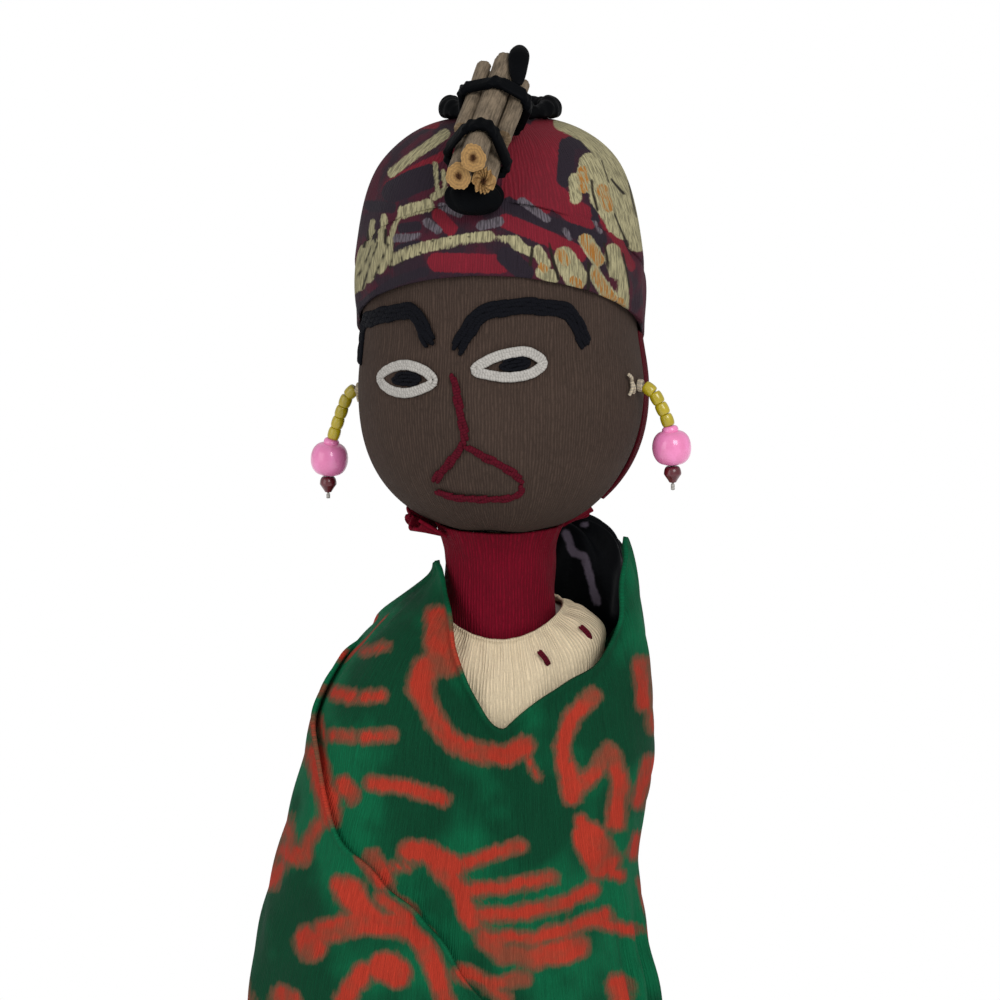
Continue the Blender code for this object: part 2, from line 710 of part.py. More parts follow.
def shawl_radius(angle, height):
    """The shawl's reach at an angle and height: a ring of four unlike quarters, then its folds."""
    table = np.array(SHAWL_SHARES)[::-1]
    share = (height - SHAWL_HEM) / (SHAWL_TOP - SHAWL_HEM)
    right, left, front, back = (
        np.interp(share, table[:, 0], table[:, i + 1]) * full
        for i, full in enumerate((SHAWL_RIGHT, SHAWL_LEFT, SHAWL_FRONT, SHAWL_BACK))
    )
    side, fore = np.sin(angle), np.cos(angle)
    across = np.abs(side) / np.where(side > 0, left, right)
    along = np.abs(fore) / np.where(fore > 0, front, back)
    power = np.where(fore > 0, SHAWL_FRONT_SQUARENESS, SHAWL_BACK_SQUARENESS)
    radius = (across**power + along**power) ** (-1 / power)
    degrees = np.degrees(angle)
    fold = np.array(SHAWL_FOLD_SHARES)
    edge = SHAWL_HEM + np.interp(degrees, fold[:, 0], fold[:, 1]) * (SHAWL_TOP - SHAWL_HEM)
    under = np.clip((edge - height) / SHAWL_FOLD_BLEND, 0, 1)
    reach = np.clip((degrees - SHAWL_FOLD_START) / SHAWL_FOLD_FADE, 0, 1)
    reach = reach * np.clip((SHAWL_FOLD_END - degrees) / SHAWL_FOLD_FADE, 0, 1)
    radius = radius + SHAWL_FOLD_RISE * under * reach * (0.4 + 0.6 * np.clip(share * 2, 0, 1))
    depth = np.clip((SHAWL_PLEAT_TOP_SHARE - share) / 0.12, 0, 1)
    for middle, half in SHAWL_PLEATS:
        radius = radius + SHAWL_PLEAT_RISE * depth * np.exp(-(((degrees - middle) / half) ** 2))
    return radius


def shawl():
    turn = np.linspace(-math.pi, math.pi, SHAWL_COLUMNS, endpoint=False)
    rim = np.array(SHAWL_RIM_SHARES)
    top = SHAWL_HEM + np.interp(np.degrees(turn), rim[:, 0], rim[:, 1]) * (SHAWL_TOP - SHAWL_HEM)
    rows = []
    for down in np.linspace(0, 1, SHAWL_ROWS):
        height = top + (SHAWL_HEM - top) * down
        radius = shawl_radius(turn, height)
        rows.append(direction(turn) * radius[:, None] + np.outer(height, (0, 0, 1)))
    obj = add("shawl", grid_mesh("shawl", np.array(rows)), "green_cloth")
    wall(obj, SHAWL_WALL)


def squared(reach, power):
    """How wide a rounded outline still is, as a share, at a share of the way to its end."""
    return np.maximum(0, 1 - np.clip(reach, 0, 1) ** power) ** (1 / power)


def head_radius(height):
    """The face's radius at a height: a full cheek, a narrower brow, a rounded chin and crown."""
    blend = np.clip((height - CHEEK_HEIGHT) / CHEEK_BLEND, 0, 1)
    blend = blend * blend * (3 - 2 * blend)
    radius = CHEEK_RADIUS + (BROW_RADIUS - CHEEK_RADIUS) * blend
    crown = HEAD_TOP - CROWN_START
    radius = radius * squared((height - CROWN_START) / crown, CROWN_SQUARENESS)
    chin = CHEEK_HEIGHT - HEAD_BOTTOM
    return radius * squared((CHEEK_HEIGHT - height) / chin, CHIN_SQUARENESS)


def head_profile(inset, opening):
    """The head's outline from its crown to an opening at the neck, moved inwards by an inset."""
    crown = HEAD_TOP - CROWN_START
    chin = CHEEK_HEIGHT - HEAD_BOTTOM
    upper = CROWN_START + crown * np.sin(np.linspace(math.pi / 2, 0, HEAD_ROWS // 2))
    middle = np.linspace(CROWN_START, CHEEK_HEIGHT, 4)[1:-1]
    lower = CHEEK_HEIGHT - chin * np.sin(np.linspace(0, math.pi / 2, HEAD_ROWS))
    height = np.concatenate([upper, middle, lower])
    radius = head_radius(height)
    slope = np.stack([np.gradient(radius), np.gradient(height)], 1)
    outward = np.stack([-slope[:, 1], slope[:, 0]], 1)
    outward /= np.linalg.norm(outward, axis=1, keepdims=True)
    outward[0] = (0, 1)
    points = np.stack([radius, height], 1) - inset * outward
    points[0, 0] = 0
    under = points[points[:, 1] < CHEEK_HEIGHT][::-1]
    foot = float(np.interp(opening, under[:, 0], under[:, 1]))
    kept = points[(points[:, 0] > opening) | (points[:, 1] > CHEEK_HEIGHT)]
    return [tuple(p) for p in kept] + [(opening, foot)]


def head():
    inset = FACE_WALL + GAP
    bore = DOWEL_RADIUS + GAP
    end = DOWEL_TOP + DOWEL_END_ROOM
    core = head_profile(inset, bore) + [(bore, end), (0, end)]
    turned("head_stuffing", core, "stuffing", ROUND_SIDES, parent=HEAD)
    face = head_profile(0, FACE_OPENING)
    turned("face_cover", face, "brown_cloth", ROUND_SIDES, thickness=FACE_WALL, parent=HEAD)


def neck():
    """The stuffed neck on the dowel, and the crimson sleeve that widens under the chin."""
    inner = NECK_RADIUS - NECK_WALL - GAP
    bore = DOWEL_RADIUS + GAP
    top = HEAD_BOTTOM - GAP
    bottom = NECK_WELL_FLOOR + GAP
    core = ((bore, top), (inner, top), (inner, bottom), (bore, bottom))
    turned("neck_stuffing", core, "stuffing", ROUND_SIDES, closed=True, parent=HEAD)
    foot = NECK_WELL_FLOOR + NECK_BOTTOM_CLEARANCE
    flared = NECK_RADIUS + NECK_FLARE
    chin = CHEEK_HEIGHT - HEAD_BOTTOM
    rim = HEAD_BOTTOM + (flared / CHEEK_RADIUS) ** CHIN_SQUARENESS / CHIN_SQUARENESS * chin
    rim -= NECK_TOP_CLEARANCE
    start = HEAD_BOTTOM - NECK_FLARE_DROP
    sleeve = (
        (flared, rim),
        (NECK_RADIUS + NECK_FLARE * 0.55, rim + (start - rim) * 0.25),
        (NECK_RADIUS + NECK_FLARE * 0.15, rim + (start - rim) * 0.6),
        (NECK_RADIUS, start),
        (NECK_RADIUS, foot),
    )
    turned("neck_sleeve", sleeve, "crimson_cloth", ROUND_SIDES, thickness=NECK_WALL, parent=HEAD)


def band_low(angle):
    rise, swing = BAND_LOW_SHARES
    return HEAD_BOTTOM + HEAD_HEIGHT * (rise + swing * np.cos(angle - WRAP_HIGH_SIDE))


def band_high(angle):
    rise, swing = BAND_HIGH_SHARES
    return HEAD_BOTTOM + HEAD_HEIGHT * (rise + swing * np.cos(angle - WRAP_HIGH_SIDE))


def ring_rows(turn, heights, radius):
    """Rings of points at the heights given for every angle, at a radius for each height."""
    return np.array(
        [direction(turn) * radius(z)[:, None] + np.outer(z, (0, 0, 1)) for z in heights]
    )


def hood():
    """The cloth over the back of the head, and its gathered edge round the back of the neck."""
    turn = np.linspace(HOOD_START, HOOD_END, 18)
    outer = GAP + HOOD_WALL
    top = band_low(turn) - GAP
    bottom = HEAD_BOTTOM + HOOD_RISE
    heights = [top + (bottom - top) * share for share in (0, 0.3, 0.55, 0.75, 0.9, 1)]
    rows = ring_rows(turn, heights, lambda z: head_radius(z) + outer * 1.15)
    obj = add("head_hood", grid_mesh("head_hood", rows, closed=False), "crimson_cloth", HEAD)
    wall(obj, HOOD_WALL)
    turn = np.linspace(FRILL_START, FRILL_END, 4 * FRILL_WAVES + 1)
    wave = FRILL_WAVE * np.cos(FRILL_WAVES * 2 * math.pi * np.linspace(0, 1, len(turn)))
    rows = []
    for share in (0.0, 0.5, 1.0):
        radius = NECK_RADIUS + FRILL_ROOM + share * FRILL_WIDTH
        rise = FRILL_INNER_RISE + share * (FRILL_OUTER_RISE - FRILL_INNER_RISE)
        height = HEAD_BOTTOM + rise + wave * share
        rows.append(direction(turn) * radius + np.outer(height, (0, 0, 1)))
    obj = add("hood_frill", grid_mesh("hood_frill", np.array(rows), closed=False), "crimson_cloth", HEAD)
    wall(obj, FRILL_WALL)


def wrap_radius(height):
    """The headwrap's outer radius above the band."""
    return WRAP_RADIUS * squared((height - CROWN_START) / (WRAP_TOP - CROWN_START), CROWN_SQUARENESS)


def headwrap():
    turn = around(ROUND_SIDES)
    low, high = band_low(turn), band_high(turn)
    heights = [low + (high - low) * share for share in (1, 0.8, 0.5, 0.2, 0)]
    lift = GAP + WRAP_WALL * 1.1
    rows = ring_rows(turn, heights, lambda z: head_radius(z) + lift)
    band = add("headwrap_band", grid_mesh("headwrap_band", rows), "print_cloth", HEAD)
    wall(band, WRAP_WALL)
    edge = high + GAP * 2
    steps = np.sin(np.linspace(math.pi / 2, 0, 8))[1:]
    heights = [edge + (WRAP_TOP - edge) * share for share in steps]
    rows = ring_rows(turn, heights, wrap_radius)
    mesh = grid_mesh("headwrap_crown", rows, top=(0, 0, WRAP_TOP))
    wall(add("headwrap_crown", mesh, "print_cloth", HEAD), WRAP_WALL)


def ring_pad():
    """The black ring pad on the crown, thinner at the front, and the cushion under the firewood."""
    turn = around(ROUND_SIDES)
    thick = RING_THIN_RADIUS + (RING_THICK_RADIUS - RING_THIN_RADIUS) * (1 - np.cos(turn)) / 2
    thick = np.maximum(thick, RING_THICK_RADIUS * np.abs(np.sin(turn)) ** 2)
    rings = []
    for tilt in around(8):
        radius = RING_RADIUS + thick * np.cos(tilt)
        ring = direction(turn) * radius[:, None] + (0, RING_SET_BACK, 0)
        seat = np.array([crown_height(r) for r in np.hypot(ring[:, 0], ring[:, 1])])
        rings.append(ring + np.outer(seat + GAP + thick * (1 + np.sin(tilt)), (0, 0, 1)))
    add("head_ring", looped_mesh("head_ring", np.array(rings)), "black_cloth", HEAD)
    place = (PAD_SIDE, PAD_INSET - WRAP_RADIUS, WRAP_TOP - PAD_DROP)
    rounded_solid("front_pad", place, PAD_HALF, PAD_SQUARENESS, "black_cloth", HEAD)


def crown_height(radius):
    """The crown's height at a distance from the axis."""
    share = (1 - min(1.0, radius / WRAP_RADIUS) ** CROWN_SQUARENESS) ** (1 / CROWN_SQUARENESS)
    return CROWN_START + (WRAP_TOP - CROWN_START) * share


def outline_round(circles, margin, turn):
    """Where a band pulled round some circles runs, a margin outside them."""
    normal = np.stack([np.sin(turn), np.cos(turn)], 1)
    reach = np.array([[x * n[0] + z * n[1] + r for x, z, r in circles] for n in normal])
    best = reach.argmax(axis=1)
    centre = np.array([circles[i][:2] for i in best])
    radius = np.array([circles[i][2] for i in best])
    return centre + normal * (radius + margin)[:, None], normal


def tie(name, circles, place, parent):
    """A black cloth strip knotted round sticks: a flat band along their common outline."""
    turn = around(22)
    inner, normal = outline_round(circles, GAP, turn)
    section = ((0, -0.5), (0.7, -0.5), (1, -0.25), (1, 0.25), (0.7, 0.5), (0, 0.5))
    rows = []
    for out, along in section:
        flat = inner + normal * out * TIE_THICKNESS
        beside = np.full(len(turn), place + along * TIE_WIDTH)
        rows.append(np.stack([flat[:, 0], beside, flat[:, 1]], 1))
    add(name, looped_mesh(name, np.array(rows)), "black_cloth", parent, Matrix.Identity(4))


def firewood():
    """Cut sticks side by side, sloping down to the front, with a tie at each end."""
    front = (BUNDLE_SIDE, -WRAP_RADIUS - BUNDLE_OVERHANG, WRAP_TOP - BUNDLE_DROP)
    lean = Matrix.Rotation(BUNDLE_TURN, 4, "Z") @ Matrix.Rotation(BUNDLE_RISE, 4, "X")
    bundle = pivot("firewood", Matrix.Translation(front) @ lean, HEAD)
    upright = Matrix.Rotation(-math.pi / 2, 4, "X")
    circles = []
    sizes = (STICK_RADIUS, STICK_RADIUS, STICK_LENGTH, STICK_LENGTH, STICK_RADIUS)
    for number, (x, z, start, end, radius) in enumerate(np.array(STICK_SHARES) * sizes, 1):
        mesh = bpy.data.meshes.new(f"stick_{number}")
        shape = bmesh.new()
        bmesh.ops.create_cone(
            shape,
            cap_ends=True,
            segments=STICK_SIDES,
            radius1=radius,
            radius2=radius,
            depth=end - start,
            matrix=Matrix.Translation((x, (start + end) / 2, z)) @ upright,
        )
        for vertex in shape.verts:
            if vertex.co.y < (start + end) / 2:
                vertex.co.y += math.tan(STICK_CUT) * (vertex.co.z - z)
        shape.to_mesh(mesh)
        shape.free()
        add(f"stick_{number}", mesh, "bark", bundle, Matrix.Identity(4))
        circles.append((x, z, radius))
    tie("front_tie", circles[:3], FRONT_TIE_SHARE * STICK_LENGTH, bundle)
    tie("rear_tie", circles, REAR_TIE_SHARE * STICK_LENGTH, bundle)
    tail = np.array(TIE_TAIL_SHARES) * (STICK_RADIUS, STICK_LENGTH, STICK_RADIUS, STICK_RADIUS)
    tube("tie_tail", smooth_route(tail, 7), "black_cloth", bundle, Matrix.Identity(4))


def on_head(angle, share):
    """A place on the face: an angle from its middle and a share of the head's height."""
    height = HEAD_BOTTOM + share * HEAD_HEIGHT
    return Vector(direction(np.array(angle + FACE_TURN)) * float(head_radius(height)) + (0, 0, height))


def on_bodice(angle, share):
    """A place on the bodice: an angle, and a share of the way up from waist to collar."""
    rows = bodice_rows()
    spot = angle / (2 * math.pi) * ROUND_SIDES
    column, part = int(spot), spot - int(spot)
    line = rows[:, column] * (1 - part) + rows[:, (column + 1) % ROUND_SIDES] * part
    side_share = np.append(np.array(BODICE_SHARES)[:, 3], 0)[::-1]
    return Vector([float(np.interp(share, side_share, line[::-1, i])) for i in range(3)])


def sewn_line(name, places, width, finish, carrier, closed=False, parent=None):
    """A flat line of stitches along places on a surface, lifted just clear of it."""
    ends = list(places) + [places[0]] if closed else list(places)
    spots = []
    for (angle, share), (next_angle, next_share) in zip(ends, ends[1:]):
        reach = max(abs(next_angle - angle) / STITCH_TURN, abs(next_share - share) / STITCH_SHARE)
        pieces = max(1, math.ceil(reach))
        for part in range(pieces):
            mix = part / pieces
            spots.append((angle + (next_angle - angle) * mix, share + (next_share - share) * mix))
    if not closed:
        spots.append(ends[-1])
    spots = [(math.radians(angle), share) for angle, share in spots]
    centre = [carrier(*spot) for spot in spots]
    count = len(spots)
    rows = []
    for i, (angle, share) in enumerate(spots):
        level = carrier(angle + PROBE_TURN, share) - carrier(angle - PROBE_TURN, share)
        upright = carrier(angle, share + PROBE_SHARE) - carrier(angle, share - PROBE_SHARE)
        normal = level.cross(upright).normalized()
        before = centre[i - 1] if closed or i else centre[i]
        after = centre[(i + 1) % count] if closed or i < count - 1 else centre[i]
        side = normal.cross((after - before).normalized()).normalized()
        row = []
        for corner in range(6):
            lean = corner * math.pi / 3
            rise = STITCH_LIFT + STITCH_HEIGHT / 2 * (1 + math.sin(lean))
            row.append(centre[i] + side * (width / 2 * math.cos(lean)) + normal * rise)
        rows.append(row)
    add(name, looped_mesh(name, rows, closed, not closed), finish, parent)


def embroidery():
    lines = (
        ("left_brow", LEFT_BROW_SHARES, BROW_WIDTH, "black_thread", False),
        ("right_brow", RIGHT_BROW_SHARES, BROW_WIDTH, "black_thread", False),
        ("left_eye", LEFT_EYE_SHARES, EYE_WIDTH, "pale_thread", True),
        ("right_eye", RIGHT_EYE_SHARES, EYE_WIDTH, "pale_thread", True),
        ("left_pupil", LEFT_PUPIL_SHARES, PUPIL_WIDTH, "black_thread", False),
        ("right_pupil", RIGHT_PUPIL_SHARES, PUPIL_WIDTH, "black_thread", False),
        ("nose_stitch", NOSE_SHARES, NOSE_WIDTH, "red_thread", False),
        ("mouth_stitch", MOUTH_SHARES, NOSE_WIDTH, "red_thread", True),
    )
    for name, places, width, finish, closed in lines:
        sewn_line(name, places, width, finish, on_head, closed, HEAD)
    for name, places in (("front_stitch", FRONT_STITCH_SHARES), ("side_stitch", SIDE_STITCH_SHARES)):
        sewn_line(name, places, BLOUSE_STITCH_WIDTH, "red_thread", on_bodice)


def bead_profile(radius, length, bore, end_radius=None):
    """A bead's closed outline: a rounded side from top to bottom, then up its bore."""
    lean = np.linspace(math.pi / 2, -math.pi / 2, BEAD_ROWS)
    low = radius if end_radius is None else end_radius
    rim = bore * 1.25
    swell = np.where(lean > 0, radius, low + (radius - low) * (1 + np.sin(lean)))
    side = rim + (np.maximum(swell, rim) - rim) * np.cos(lean) ** 0.7
    height = length / 2 * np.sin(lean)
    return [(bore, length / 2)] + list(zip(side.tolist(), height.tolist())) + [(bore, -length / 2)]


def earring(side, angle, share, route, seeds):
    """A beaded string that hangs from a sewn knot at the ear and swings about a line outwards."""
    height = HEAD_BOTTOM + share * HEAD_HEIGHT
    outward = direction(np.array(angle))
    start = float(head_radius(height)) + GAP
    origin = Matrix.Translation(outward * start + (0, 0, height))
    frame = origin @ Matrix.Rotation(angle - math.pi / 2, 4, "Z")
    hanger = pivot(f"{side}_earring_swing", frame, HEAD)
    bore = THREAD_RADIUS + THREAD_CLEARANCE
    knot = bead_profile(EAR_KNOT_RADIUS, EAR_KNOT_LENGTH, bore)
    outward_turn = Matrix.Rotation(math.pi / 2, 4, "Y")
    knot_place = frame @ Matrix.Translation((EAR_KNOT_LENGTH / 2, 0, 0)) @ outward_turn
    turned(f"{side}_ear_stitch", knot, "pale_thread", SMALL_SIDES, closed=True, parent=HEAD,
           matrix=HEAD.matrix_world.inverted() @ knot_place)
    path = smooth_route(route, 60)
    along = np.concatenate([[0], np.cumsum(np.linalg.norm(np.diff(path, axis=0), axis=1))])
    beads = [(f"seed_bead_{i + 1}", SEED_RADIUS, SEED_LENGTH, None, "yellow_bead") for i in range(seeds)]
    beads += [
        ("collar_bead", COLLAR_BEAD_RADIUS, COLLAR_BEAD_LENGTH, None, "pink_bead"),
        ("pink_bead", PINK_BEAD_RADIUS, PINK_BEAD_LENGTH, None, "pink_bead"),
        ("tip_bead", TIP_RADIUS, TIP_LENGTH, TIP_END_RADIUS, "dark_bead"),
    ]
    reached = FIRST_BEAD_START
    for name, bead_radius, length, end_radius, finish in beads:
        ends = [[np.interp(reached + s * length, along, path[:, i]) for i in (0, 1)] for s in (0, 1)]
        (x0, z0), (x1, z1) = ends
        lean = math.atan2(x0 - x1, z0 - z1)
        spot = Matrix.Translation(((x0 + x1) / 2, 0, (z0 + z1) / 2)) @ Matrix.Rotation(lean, 4, "Y")
        sides = SMALL_SIDES if length < PINK_BEAD_LENGTH else ROUND_SIDES
        profile = bead_profile(bead_radius, length, bore, end_radius)
        turned(f"{side}_{name}", profile, finish, sides, closed=True, parent=hanger, matrix=spot)
        if name == "pink_bead":
            centre = hanger.matrix_world @ spot.translation
            axis = hanger.matrix_world.to_3x3() @ Vector((math.sin(lean), 0, math.cos(lean)))
            place = [round(v, 5) for v in centre]
            print(f"{side} bead spins at", place, "about", [round(v, 4) for v in axis])
        reached += length + BEAD_SPACING
    spots = np.append(np.linspace(0, reached, THREAD_POINTS), reached + THREAD_END)
    x, z = (np.interp(spots, along, path[:, i]) for i in (0, 1))
    radius = np.where(spots < reached, THREAD_RADIUS, THREAD_KNOT_RADIUS)
    thread = np.column_stack([x, np.zeros(len(x)), z, radius])
    tube(f"{side}_earring_thread", thread, "pale_thread", hanger, Matrix.Identity(4), resolution=1)
    place = [round(v, 5) for v in hanger.matrix_world.translation]
    print(f"{side} earring swings at", place, "about", [round(float(v), 4) for v in outward])


clear_scene()
DOLL = collection("cloth_doll")
CUTTERS = collection("cutters")
HEAD = pivot("head_turn", Matrix.Translation((0, 0, NECK_WELL_FLOOR)))
base_and_dowel()
body_stuffing()
dress()
arms()
back_bundle()
shawl()
head()
neck()
hood()
headwrap()
ring_pad()
firewood()
embroidery()
earring("left", LEFT_EAR_ANGLE, LEFT_EAR_SHARE, LEFT_ROUTE, LEFT_SEEDS)
earring("right", RIGHT_EAR_ANGLE, RIGHT_EAR_SHARE, RIGHT_ROUTE, RIGHT_SEEDS)
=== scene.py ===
"""Dresses the frame of a cloth doll: cloth, thread, beads and firewood, the stage and the camera.

Lengths are in metres. The doll stands on z = 0 with its neck on the z axis, and faces -Y. Places
round it are angles from -Y towards +X, the doll's left.
"""

import math

import bmesh
import bpy
import numpy as np
from bpy.props import FloatProperty, FloatVectorProperty, PointerProperty
from mathutils import Matrix, Vector


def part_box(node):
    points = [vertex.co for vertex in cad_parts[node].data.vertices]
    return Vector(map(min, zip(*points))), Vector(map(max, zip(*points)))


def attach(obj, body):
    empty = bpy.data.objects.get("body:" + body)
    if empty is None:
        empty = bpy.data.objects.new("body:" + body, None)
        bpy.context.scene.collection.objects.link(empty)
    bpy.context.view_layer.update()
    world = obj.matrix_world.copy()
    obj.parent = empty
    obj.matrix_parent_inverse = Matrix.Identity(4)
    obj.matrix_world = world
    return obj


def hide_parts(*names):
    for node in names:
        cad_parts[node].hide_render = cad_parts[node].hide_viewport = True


bl_info = {
    "name": "Cloth doll",
    "version": (1, 0, 0),
    "blender": (4, 5, 0),
    "location": "View3D > Sidebar > Cloth doll",
    "description": "Dresses the frame of a stuffed cloth doll",
    "category": "Object",
}

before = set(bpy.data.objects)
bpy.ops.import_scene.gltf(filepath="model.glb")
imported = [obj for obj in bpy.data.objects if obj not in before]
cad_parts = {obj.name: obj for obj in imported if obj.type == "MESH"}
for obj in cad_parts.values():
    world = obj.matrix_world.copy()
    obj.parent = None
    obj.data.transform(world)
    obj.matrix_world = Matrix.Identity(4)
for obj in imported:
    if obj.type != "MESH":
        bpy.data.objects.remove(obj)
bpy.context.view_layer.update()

# A millimetre, and the air left between parts that lie on each other
MM = 0.001
GAP = 0.0003

# Head, as in the frame
HEAD_BOTTOM = 0.202
HEAD_HEIGHT = 0.0843
HEAD_TOP = HEAD_BOTTOM + HEAD_HEIGHT
CHEEK_RADIUS = 0.0298
CHEEK_HEIGHT = HEAD_BOTTOM + 0.356 * HEAD_HEIGHT
CHEEK_BLEND = 0.015
BROW_RADIUS = 0.0283
CROWN_START = HEAD_BOTTOM + 0.522 * HEAD_HEIGHT
CHIN_SQUARENESS = 2.3
CROWN_SQUARENESS = 2.9
FACE_TURN = -17

# Neck sleeve: its radius, its foot, where it starts to widen and how far
NECK_RADIUS = 0.01166
NECK_FOOT = 0.1757
NECK_FLARE_START = 0.1972
NECK_TOP = 0.2036
NECK_FLARE = 0.0021
NECK_THICKNESS = 0.0005

# Hood, in degrees round the head, and its gathered edge
HOOD_TURNS = (84, 249)
HOOD_FOOT = HEAD_BOTTOM + 0.007
HOOD_LIFT = 0.00104
HOOD_THICKNESS = 0.0006
# The part of the head's outline that the hood follows
HOOD_SPAN = (0.262, 0.206)
FRILL_TURNS = (100, 305)
FRILL_WAVES = 9
FRILL_START = NECK_RADIUS + 0.0016
FRILL_WIDTH = 0.0062
FRILL_RISE = 0.0027
FRILL_THICKNESS = 0.0007

# Headwrap
WRAP_RADIUS = 0.0302
WRAP_TOP = 0.288
WRAP_HIGH_SIDE = math.radians(-5)
BAND_LOW_SHARES = (0.503, 0.172)
BAND_HIGH_SHARES = (0.657, 0.2005)
BAND_THICKNESS = 0.0014
CROWN_THICKNESS = 0.0009
CROWN_HEM = 0.0010
# Its columns and rows, and how much closer the columns stand in front, where the print is finer
WRAP_COLUMNS = 420
CROWN_ROWS = 104
FRONT_CROWDING = 0.35

# Ring pad on the crown, and the black cushion in front of it, partly painted shadow under the
# sticks' front ends
RING_RADIUS = 0.0104
RING_THICK_RADIUS = 0.0022
RING_THIN_RADIUS = 0.0012
RING_SET_BACK = 0.0018
PAD = ((-0.0050, -0.0292, 0.2743), (0.0056, 0.0030, 0.0034), 2.2)

# Dress
WAIST_HEIGHT = 0.119
WAIST_RADIUS = 0.0175
COLLAR_RADIUS = 0.01336
COLLAR_SIDE_HEIGHT = 0.1855
COLLAR_FRONT_HEIGHT = 0.181
BODICE_HALF_WIDTH = 0.0225
BODICE_FRONT = 0.0198
BODICE_BACK = 0.0195
BODICE_SHARES = (
    (0.00, 0.00, 0.00, 1.000, 1.000),
    (0.54, 0.20, 0.25, 0.977, 0.944),
    (1.00, 0.53, 0.70, 0.925, 0.871),
    (0.98, 0.79, 0.93, 0.827, 0.774),
    (0.85, 0.93, 1.00, 0.617, 0.629),
    (0.59, 1.00, 0.93, 0.316, 0.339),
)
HEM_RADIUS = 0.0555
HEM_HEIGHT = 0.001
SKIRT_SHARES = (
    (0.00, 0.000),
    (0.08, 0.075),
    (0.15, 0.140),
    (0.26, 0.244),
    (0.46, 0.414),
    (0.66, 0.584),
    (0.84, 0.771),
    (1.00, 1.000),
)
SKIRT_FOLDS = 8
SKIRT_FOLD_DEPTH = 0.0012
# The waist tie: its middle above the waist, how far it stands out and half its height
WAIST_TIE = (0.0026, 0.0022, 0.0025)
# A stitch on the blouse: from its middle to its end, from its first thread to its second, how far
# it bows out, and its thread's radius
BLOUSE_STITCH = np.array((0.0011, 0, -0.0016))
BLOUSE_SECOND = (0.0004, 0, 0.0003)
BLOUSE_BOW = 0.0007
BLOUSE_THREAD = 0.00034

# Stuffing: how far it stays inside the cloth, its fill, and its ends as reach and height
CHEST_INSET = 0.0014
SKIRT_INSET = 0.0026
FACE_INSET = 0.0011
BODY_FILL_TOP = ((0, 0.1752), (0.0126, 0.1752))
BODY_FILL_FOOT = ((0.0500, 0.0068), (0, 0.0068))
NECK_FILL = ((0, 0.2012), (0.0106, 0.2012), (0.0106, 0.190), (0.0106, 0.1758), (0, 0.1758))

# Arms: places along each, in metres, with the radius there
RIGHT_ARM = (
    (-0.0256, 0.0010, 0.1716, 0.0045), (-0.0290, 0.0005, 0.1636, 0.0054),
    (-0.0352, -0.0010, 0.1410, 0.0062), (-0.0412, -0.0040, 0.1170, 0.0063),
    (-0.0290, -0.0180, 0.1079, 0.0054), (-0.0130, -0.0272, 0.1050, 0.0043),
)
LEFT_ARM = (
    (0.0256, 0.0010, 0.1705, 0.0043), (0.0264, 0.0000, 0.1600, 0.0045),
    (0.0252, -0.0030, 0.1421, 0.0045), (0.0232, -0.0070, 0.1250, 0.0041),
    (0.0165, -0.0195, 0.1170, 0.0041), (0.0050, -0.0268, 0.1110, 0.0040),
)

# Shawl
SHAWL_TOP = 0.2017
SHAWL_HEM = 0.048
SHAWL_REACH = (0.0545, 0.0460, 0.0460, 0.0500)
SHAWL_FRONT_SQUARENESS = 2.2
SHAWL_BACK_SQUARENESS = 3.0
# Its pleats at the left front, as angle and half width in degrees, the grooves between them and
# their half width, and how high and deep they are
SHAWL_PLEATS = ((48, 5), (60, 4), (71, 4))
SHAWL_GROOVES = (54, 66)
GROOVE_WIDTH = 2.2
PLEAT_HEIGHT = 0.0018
GROOVE_DEPTH = 0.0013
SHAWL_SHARES = (
    (1.000, 0.235, 0.560, 0.260, 0.890),
    (0.947, 0.246, 0.609, 0.291, 0.920),
    (0.847, 0.495, 0.674, 0.391, 0.970),
    (0.761, 0.679, 0.706, 0.446, 1.000),
    (0.661, 0.752, 0.711, 0.511, 0.990),
    (0.548, 0.835, 0.652, 0.598, 0.950),
    (0.415, 0.932, 0.685, 0.706, 0.900),
    (0.342, 0.972, 0.730, 0.761, 0.880),
    (0.149, 0.991, 0.870, 0.913, 0.940),
    (0.000, 1.000, 1.000, 1.000, 1.000),
)
SHAWL_RIM_SHARES = (
    (-180, 0.800), (-140, 0.820), (-115, 0.900), (-100, 0.945), (-90, 0.955), (-61, 0.950),
    (-48, 0.930), (-36, 0.895), (-30, 0.865), (-18, 0.807), (-2, 0.757), (18, 0.787), (40, 0.818),
    (56, 0.843), (68, 0.889), (79, 0.964), (88, 0.990), (97, 0.970), (110, 0.900), (130, 0.830),
    (180, 0.800),
)
SHAWL_FOLD_SHARES = (
    (-125, 0.84), (-100, 0.79), (-75, 0.69), (-61, 0.61), (-48, 0.563), (-31, 0.516),
    (-11, 0.43), (8, 0.33), (30, 0.0),
)

# The shawl's end: its sides in degrees, how far it lies out from the shawl, how deep under it its
# tucked side starts, and where it comes out
SHAWL_END_TURNS = (-122, 29.5)
SHAWL_END_RISE = 0.0026
SHAWL_END_TUCK = 0.0012
SHAWL_END_OUT = (math.radians(-121), math.radians(16))

# Bundle at the back: centre, half sizes and squareness of its upper and lower part
BACK_UPPER = ((0.0099, 0.0322, 0.18095), (0.0150, 0.0104, 0.0165), 2.8)
BACK_LOWER = ((0.0063, 0.0322, 0.13915), (0.0178, 0.0108, 0.0250), 2.3)
# How much the upper part widens towards +X, as a share, and from which height over which rise
BACK_WIDER = (0.22, 0.169, 0.008)
ROUNDED_COLUMNS = 140

